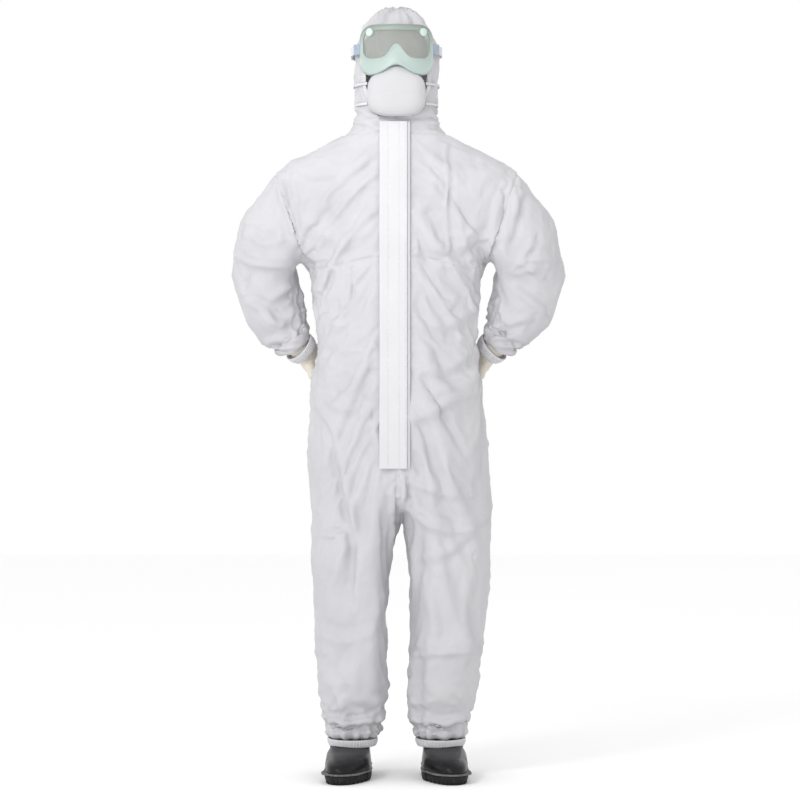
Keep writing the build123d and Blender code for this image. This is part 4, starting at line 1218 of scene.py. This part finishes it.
def wrapped(x, z, radii):
    """Points of a front outline laid on an upright elliptical cylinder."""
    share = np.clip(1 - (x / radii[0]) ** 2, 0.0, 1)
    return np.stack([x, GOGGLE_Y - radii[1] * np.sqrt(share), z], -1)


def rounded(half, top, bottom, corner, count=1440):
    """Points round a rounded rectangle, from the middle of its top."""
    middle, tall = (top + bottom) / 2, (top - bottom) / 2
    turn = np.linspace(0, 2 * np.pi, count, endpoint=False) + np.pi / 2
    reach = np.array([np.cos(turn), np.sin(turn)])
    low, high = np.zeros(count), np.full(count, 1.0)
    for _ in range(40):
        share = (low + high) / 2
        over = np.maximum(np.abs(reach * share) - [[half - corner], [tall - corner]], 0)
        out = np.hypot(*over) > corner
        low, high = np.where(out, low, share), np.where(out, share, high)
    return low * reach[0], middle + low * reach[1]


def goggle_outline(half, top, bottom, corner, arch_half, arch_height, count=288):
    """A rounded rectangle with an arch over the nose, even points round it."""
    x, z = rounded(half, top, bottom, corner)
    arch = bottom + arch_height * np.exp(-((x / arch_half) ** 2))
    z = np.where(z < (top + bottom) / 2, np.maximum(z, arch), z)
    closed = np.vstack([np.column_stack([x, z]), [[x[0], z[0]]]])
    run = np.concatenate([[0], np.cumsum(np.linalg.norm(np.diff(closed, axis=0), axis=1))])
    even = np.linspace(0, run[-1], count, endpoint=False)
    row = np.column_stack([np.interp(even, run, closed[:, i]) for i in (0, 1)])
    for _ in range(8):
        row = 0.5 * row + 0.25 * (np.roll(row, 1, 0) + np.roll(row, -1, 0))
    return row


def between(a, b, share):
    return a + (b - a) * share


outer_line = goggle_outline(0.0828, 1.7028, 1.5895, 0.030, 0.030, 0.0225)
window_line = goggle_outline(0.0745, 1.6885, 1.6265, 0.018, 0.020, 0.0330)
profile = [
    # share from the window to the outer edge, and depth behind the outermost skin
    (0.00, 0.0060), (0.00, 0.0012), (0.03, 0.0000), (0.10, 0.0000), (0.15, 0.0016),
    (0.24, 0.0022), (0.60, 0.0022), (0.80, 0.0020), (0.88, 0.0002), (0.96, 0.0004),
    (1.00, 0.0030), (1.00, 0.0120), (0.99, 0.0220), (1.00, 0.0262), (0.97, 0.0270),
    (0.95, 0.0250), (0.95, 0.0150), (0.93, 0.0060), (0.60, 0.0050), (0.20, 0.0056),
]
rows = []
for share, depth in profile:
    flat = between(window_line, outer_line, share)
    radii = (0.118 - depth * 0.52, 0.147 - depth)
    rows.append(wrapped(flat[:, 0], flat[:, 1], radii))
goggle_frame = tube_wall("goggle_body", rows)
dress(goggle_frame, GOGGLE_VINYL_SHADED_TOP, "goggles", ["goggle_frame"])
lens_line = goggle_outline(0.0772, 1.6912, 1.6238, 0.020, 0.018, 0.0330)
middle = lens_line.mean(0)
rows = []
for share in np.linspace(0.02, 1, 16):
    flat = middle + (lens_line - middle) * share
    rows.append(wrapped(flat[:, 0], flat[:, 1], (0.1155, 0.1443)))
for share in np.linspace(1, 0.02, 16):
    flat = middle + (lens_line - middle) * share
    rows.append(wrapped(flat[:, 0], flat[:, 1], (0.1139, 0.1425)))
faces = grid_faces(len(rows), len(lens_line))
faces += [tuple(range(len(lens_line)))[::-1],
          tuple(range((len(rows) - 1) * len(lens_line), len(rows) * len(lens_line)))]
lens = new_object("goggle_window", np.concatenate(rows), faces)
lens.data.shade_smooth()
dress(lens, LENS, "goggles", ["goggle_lens"])

VENT_X, VENT_Z = 0.060, 1.686
for side, s in (("left", 1), ("right", -1)):
    seat = wrapped(np.array([s * VENT_X]), np.array([VENT_Z]), (0.118, 0.147))[0]
    out = unit((seat[0] / 0.118**2, (seat[1] - GOGGLE_Y) / 0.147**2, 0))
    across = np.cross(out, UP)
    rings = []
    turn = np.linspace(0, 2 * np.pi, 64, endpoint=False)
    for radius, rise in (
        (0.0086, -0.0022), (0.0090, -0.0015), (0.0090, 0.0022), (0.0086, 0.0030), (0.0078, 0.0032),
        (0.0072, 0.0026), (0.0066, 0.0026), (0.0060, 0.0034), (0.0028, 0.0037), (0.0004, 0.0038),
    ):
        rings.append(seat + out * rise + radius * (
            np.cos(turn)[:, None] * across + np.sin(turn)[:, None] * UP))
    vent = loft(f"{side}_vent_pad", rings)
    vent.data.shade_smooth()
    dress(vent, VENT, "goggles", ["goggle_vent_caps"] if s > 0 else ())


def arc_band(name, radii, centre_y, low, high, start_y, thick, rows, ribs):
    """An elastic round the back of the hood, from one side's front to the other's."""
    share = (start_y - centre_y) / radii[1]
    first = math.asin(np.clip(share, -1, 1))
    turn = np.linspace(first, np.pi - first, 361)
    ring_points = []
    profile = [(t, 1) for t in np.linspace(0, 1, rows)] + [(t, 0) for t in np.linspace(1, 0, rows)]
    for t, outer in profile:
        extra = thick * outer + (0.00022 * math.sin(t * math.pi * ribs) if outer else 0)
        x = (radii[0] + extra) * np.cos(turn)
        y = centre_y + (radii[1] + extra) * np.sin(turn)
        ring_points.append(np.column_stack([x, y, np.full(361, low + (high - low) * t)]))
    count = 361
    loops = len(ring_points)
    points = np.concatenate(ring_points)
    faces = []
    for i in range(loops):
        j = (i + 1) % loops
        faces += [(i * count + k, i * count + k + 1, j * count + k + 1, j * count + k)
                  for k in range(count - 1)]
    faces += [tuple(i * count for i in range(loops)),
              tuple(i * count + count - 1 for i in range(loops))[::-1]]
    made = new_object(name, points, faces)
    mesh = bmesh.new()
    mesh.from_mesh(made.data)
    bmesh.ops.recalc_face_normals(mesh, faces=mesh.faces)
    mesh.to_mesh(made.data)
    mesh.free()
    made.data.shade_smooth()
    return made


STRAP_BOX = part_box("goggle_strap")
strap = arc_band("goggle_band", (0.1030, 0.1182), GOGGLE_Y, STRAP_BOX[0].z, STRAP_BOX[1].z,
                 -0.0300, 0.0015, 21, 9)
dress(strap, STRAP, None, ["goggle_strap"])
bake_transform(strap)
for node, radii, middle in (("mask_upper_strap", (0.0975, 0.108), 0.02435),
                            ("mask_lower_strap", (0.0945, 0.092), 0.01635)):
    low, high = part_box(node)
    band = arc_band(node + "_band", radii, middle, low.z, high.z,
                    middle - radii[1] * math.sqrt(1 - (0.0655 / radii[0]) ** 2), 0.0011, 7, 3)
    dress(band, YELLOW, None, [node])
    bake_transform(band)

# ------------------------------------------------------------------ gloves
HAND_OUT = unit(np.array([0.64, 0.77, 0.0]) - unit(HAND) * np.dot([0.64, 0.77, 0.0], unit(HAND)))
HAND_ACROSS = np.cross(HAND_OUT, unit(HAND))
FINGER = unit((-0.84, 0.34, -0.40))
PALM = [(-0.026, 0.0272, 0.0257), (0.0, 0.0276, 0.0254), (0.014, 0.0280, 0.0248),
        (0.027, 0.0325, 0.0205), (0.040, 0.0362, 0.0168), (0.060, 0.0402, 0.0152),
        (0.078, 0.0430, 0.0146), (0.090, 0.0424, 0.0132), (0.098, 0.0400, 0.0118)]
FINGERS = [(-0.030, 0.058, 0.0086), (-0.010, 0.076, 0.0091), (0.010, 0.080, 0.0092),
           (0.029, 0.066, 0.0086)]


def capsule_rings(start, direction, length, radius):
    """A finger: a slightly waisted tube with a round tip."""
    direction = unit(direction)
    across = unit(np.cross(direction, UP))
    other = np.cross(direction, across)
    turn = np.linspace(0, 2 * np.pi, 20, endpoint=False)
    rings = []
    for t in np.concatenate([np.linspace(-0.2, 0.86, 14), 0.86 + 0.14 * np.sin(
            np.linspace(0.15, 1.45, 6)) ]):
        tip = max(0.0, (t - 0.86) / 0.14)
        knuckle = 1 + 0.06 * math.exp(-(((t - 0.42) / 0.07) ** 2)) + 0.05 * math.exp(
            -(((t - 0.72) / 0.06) ** 2)) - 0.05 * max(t, 0)
        r = radius * knuckle * math.sqrt(max(1 - tip**2, 0.004))
        centre = start + direction * length * t
        rings.append(centre + r * (np.cos(turn)[:, None] * across + np.sin(turn)[:, None] * other))
    return rings


def glove_points(shape):
    across, thick = shape
    turn = np.linspace(0, 2 * np.pi, 48, endpoint=False)
    return across * np.cos(turn), thick * np.sin(turn)


for side, s in (("left", 1), ("right", -1)):
    wrist_end = np.array([0.222, 0.08535, 0.979])
    rings = []
    for along, across, thick in PALM:
        a, b = glove_points((across, thick))
        rings.append(wrist_end + unit(HAND) * along + a[:, None] * HAND_ACROSS
                     + b[:, None] * HAND_OUT)
    mirror = (s, 1, 1)
    parts = [loft("palm", [r * mirror for r in rings])]
    for across, length, radius in FINGERS:
        start = wrist_end + unit(HAND) * 0.088 + HAND_ACROSS * across
        parts.append(loft("finger", [r * mirror for r in capsule_rings(start, FINGER, length, radius)]))
    thumb = np.array([0.200, 0.09435, 0.950])
    parts.append(loft("thumb", [r * mirror for r in capsule_rings(
        thumb, (-0.15, -0.55, -0.82), 0.052, 0.0108)]))
    glove = merged(parts, 0.0022, 4)
    spots = coordinates(glove)
    wrinkle = np.array([noise.ridged_multi_fractal(Vector(p) * 42.0, 0.9, 2.1, 3, 0.9, 1.8)
                        for p in spots])
    wrinkle = np.clip((wrinkle - wrinkle.mean()) / wrinkle.std(), -1.5, 2)
    set_coordinates(glove, spots + vertex_normals(glove) * (0.00035 * wrinkle)[:, None])
    smoothed(glove, 0)
    glove.name = f"{side}_glove_latex"
    dress(glove, GLOVE, f"{side}_forearm", [f"{side}_glove"])

# ------------------------------------------------------------------ boots
BOOT_TURN = math.radians(7)
BOOT_ROWS = np.array(
    # height, half width, heel end, toe end (along the boot, toe negative), squareness
    [
        (0.024, 0.0512, 0.077, -0.2000, 2.3),
        (0.032, 0.0522, 0.077, -0.2005, 2.3),
        (0.042, 0.0520, 0.076, -0.1940, 2.3),
        (0.052, 0.0508, 0.075, -0.1720, 2.3),
        (0.058, 0.0495, 0.073, -0.1330, 2.3),
        (0.063, 0.0480, 0.071, -0.0900, 2.25),
        (0.068, 0.0462, 0.068, -0.0600, 2.2),
        (0.077, 0.0445, 0.066, -0.0500, 2.15),
        (0.086, 0.0425, 0.063, -0.0470, 2.1),
        (0.098, 0.0412, 0.060, -0.0455, 2.1),
        (0.118, 0.0410, 0.059, -0.0450, 2.1),
        (0.132, 0.0414, 0.060, -0.0450, 2.1),
        (0.135, 0.0416, 0.060, -0.0455, 2.1),
    ]
)


def boot_ring(row, s, grow=0.0, count=72):
    """One level section of a boot, wider over the ball of the foot than at the heel."""
    z, half, heel, toe, power = row
    turn = np.linspace(0, 2 * np.pi, count, endpoint=False)
    c, d = np.cos(turn), np.sin(turn)
    reach = (np.abs(c) ** power + np.abs(d) ** power) ** (-1 / power)
    middle, long = (heel + toe) / 2, (heel - toe) / 2 + grow
    y = middle + long * reach * d
    ball = 1 - 0.16 * np.clip((y + 0.06) / 0.13, 0, 1) * (long > 0.07) - 0.06 * (y < -0.12)
    x = (half + grow) * reach * c * ball
    x -= 0.007 * np.exp(-(((y + 0.11) / 0.06) ** 2)) * np.sign(1) * (long > 0.07)
    across = np.array([math.cos(BOOT_TURN), math.sin(BOOT_TURN), 0])
    ahead = np.array([-math.sin(BOOT_TURN), math.cos(BOOT_TURN), 0])
    points = np.array([0.105, 0.03835, z]) + x[:, None] * across + y[:, None] * ahead
    return points * (s, 1, 1)


for side, s in (("left", 1), ("right", -1)):
    heights = np.concatenate([np.linspace(0.024, 0.080, 22), np.linspace(0.084, 0.135, 12)])
    table = np.column_stack([heights] + [
        np.interp(heights, BOOT_ROWS[:, 0], BOOT_ROWS[:, k]) for k in range(1, 5)])
    for k in range(1, 5):
        table[1:-1, k] = 0.25 * table[:-2, k] + 0.5 * table[1:-1, k] + 0.25 * table[2:, k]
    outer = [boot_ring(row, s) for row in table]
    lip = table[-1].copy()
    lip[0] += 0.001
    inner = [boot_ring(lip, s, -0.0012)]
    inner += [boot_ring(row, s, -0.0028) for row in table[::-1]]
    upper = tube_wall(f"{side}_boot_shell", outer + inner)
    spots = coordinates(upper)
    fold = 0.0016 * np.sin((spots[:, 2] - 0.06) * 420) * bump(spots[:, 2], 0.070, 0.096)
    front = smooth_step((0.06 - spots[:, 1]) / 0.06)
    set_coordinates(upper, spots + vertex_normals(upper) * (fold * front)[:, None])
    dress(upper, RUBBER, "suit", [f"{side}_boot_upper"])
    rings = []
    for z, grow in ((0.0200, 0.0018), (0.0204, 0.0030), (0.0222, 0.0036), (0.0240, 0.0030),
                    (0.0246, 0.0012), (0.0246, -0.0020), (0.0200, -0.0020)):
        rings.append(boot_ring((z, 0.0512, 0.077, -0.2000, 2.3), s, grow, 288))
    turn = np.arange(288)
    rings[2] = rings[2] + (0, 0, 1) * (0.0004 * np.sign(np.sin(turn * 2 * np.pi / 4))[:, None])
    rand = tube_wall(f"{side}_boot_rand", rings)
    dress(rand, WELT, "suit", [f"{side}_boot_welt"])
    rings = []
    notch = (np.sin(turn * 2 * np.pi / 288 * 40) > 0) * 0.0024
    for z, grow, cut in ((0.0002, -0.0030, 1), (0.0010, -0.0002, 1), (0.0060, 0.0012, 1),
                         (0.0085, 0.0016, 0), (0.0150, 0.0020, 0), (0.0200, 0.0016, 0)):
        outline = boot_ring((z, 0.0512, 0.077, -0.2000, 2.3), s, grow, 288)
        middle = outline.mean(0)
        out = (outline - middle) * (1, 1, 0)
        out /= np.linalg.norm(out, axis=1, keepdims=True)
        rings.append(outline - out * (notch * cut)[:, None])
    sole = loft(f"{side}_boot_outsole", rings)
    sole.data.shade_smooth()
    dress(sole, SOLE, "suit", [f"{side}_boot_sole"])

# ------------------------------------------------------------------ CAD nodes that stay
STAY = {
    "goggle_strap_clips": CLIP, "strap_buckle": CLIP, "mask_nose_clip": ALUMINIUM,
    "mask_staples": STEEL, "zip_slider": PAINTED, "zip_pull": PAINTED,
    "zip_top_stops": PAINTED, "zip_bottom_stop": PAINTED, "flap_adhesive_tape": PAPER,
    "left_zip_tape": TAPE, "right_zip_tape": TAPE, "waist_elastic": ELASTIC,
    "left_boot_insole": INSOLE, "right_boot_insole": INSOLE,
}
for node, material in STAY.items():
    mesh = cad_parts[node].data
    mesh.materials.clear()
    mesh.materials.append(material)

corners = triangles_of("mask_nose_foam").reshape(-1, 3)
foam = new_object(
    "nose_foam_block", corners, [(3 * i, 3 * i + 1, 3 * i + 2) for i in range(len(corners) // 3)]
)
foam = merged([foam], 0.0007, 5)
foam.name = "nose_foam"
foam.data.shade_smooth()
dress(foam, FOAM, "mask", ["mask_nose_foam"])



# ------------------------------------------------------------------ camera, floor and light
CAMERA_HEIGHT, CAMERA_DISTANCE, VIEW_CENTRE = 0.90, 7.0, Vector((0.008, 0, 0.859))
VIEW_WIDTH = 1.824


def area_light(name, place, target, size, watts, colour=(1, 1, 1)):
    light = bpy.data.lights.new(name, "AREA")
    light.shape = "DISK"
    light.size = size
    light.energy = watts
    light.color = colour
    made = bpy.data.objects.new(name, light)
    made.location = place
    made.rotation_euler = (Vector(target) - Vector(place)).to_track_quat("-Z", "Y").to_euler()
    bpy.context.scene.collection.objects.link(made)


camera_data = bpy.data.cameras.new("camera")
camera = bpy.data.objects.new("camera", camera_data)
camera.location = (VIEW_CENTRE.x, -CAMERA_DISTANCE, CAMERA_HEIGHT)
aim = VIEW_CENTRE - camera.location
camera.rotation_euler = aim.to_track_quat("-Z", "Y").to_euler()
camera_data.lens = camera_data.sensor_width * aim.length / VIEW_WIDTH
bpy.context.scene.collection.objects.link(camera)
bpy.context.scene.camera = camera

floor = new_object("floor", [(-9, -9, 0), (9, -9, 0), (9, 9, 0), (-9, 9, 0)], [(0, 1, 2, 3)])
floor_material = bpy.data.materials.new("floor")
floor_material.use_nodes = True
floor_shader = floor_material.node_tree.nodes["Principled BSDF"]
floor_shader.inputs["Base Color"].default_value = (0.97, 0.97, 0.97, 1)
floor_shader.inputs["Roughness"].default_value = 1.0
floor.data.materials.append(floor_material)

world = bpy.data.worlds.new("studio")
world.use_nodes = True
world.node_tree.nodes["Background"].inputs["Color"].default_value = (1, 1, 1, 1)
world.node_tree.nodes["Background"].inputs["Strength"].default_value = 1.0
bpy.context.scene.world = world
bpy.context.scene.view_settings.view_transform = "Standard"
area_light("key", (-2.4, -3.2, 3.4), (0, 0, 1.1), 1.2, 48)
area_light("low", (-0.8, -3.0, 0.6), (0, 0, 0.4), 1.0, 14)


def spot_light(name, place, target, degrees, watts):
    """A soft pool of light on the upper part of the suit."""
    light = bpy.data.lights.new(name, "SPOT")
    light.energy = watts
    light.spot_size = math.radians(degrees)
    light.spot_blend = 1.0
    light.shadow_soft_size = 0.5
    made = bpy.data.objects.new(name, light)
    made.location = place
    made.rotation_euler = (Vector(target) - Vector(place)).to_track_quat("-Z", "Y").to_euler()
    bpy.context.scene.collection.objects.link(made)


spot_light("upper", (-1.1, -3.8, 2.8), (0.02, 0, 1.55), 25, 175)
spot_light("crown", (0.2, -1.9, 3.0), (0, -0.05, 1.72), 14, 75)
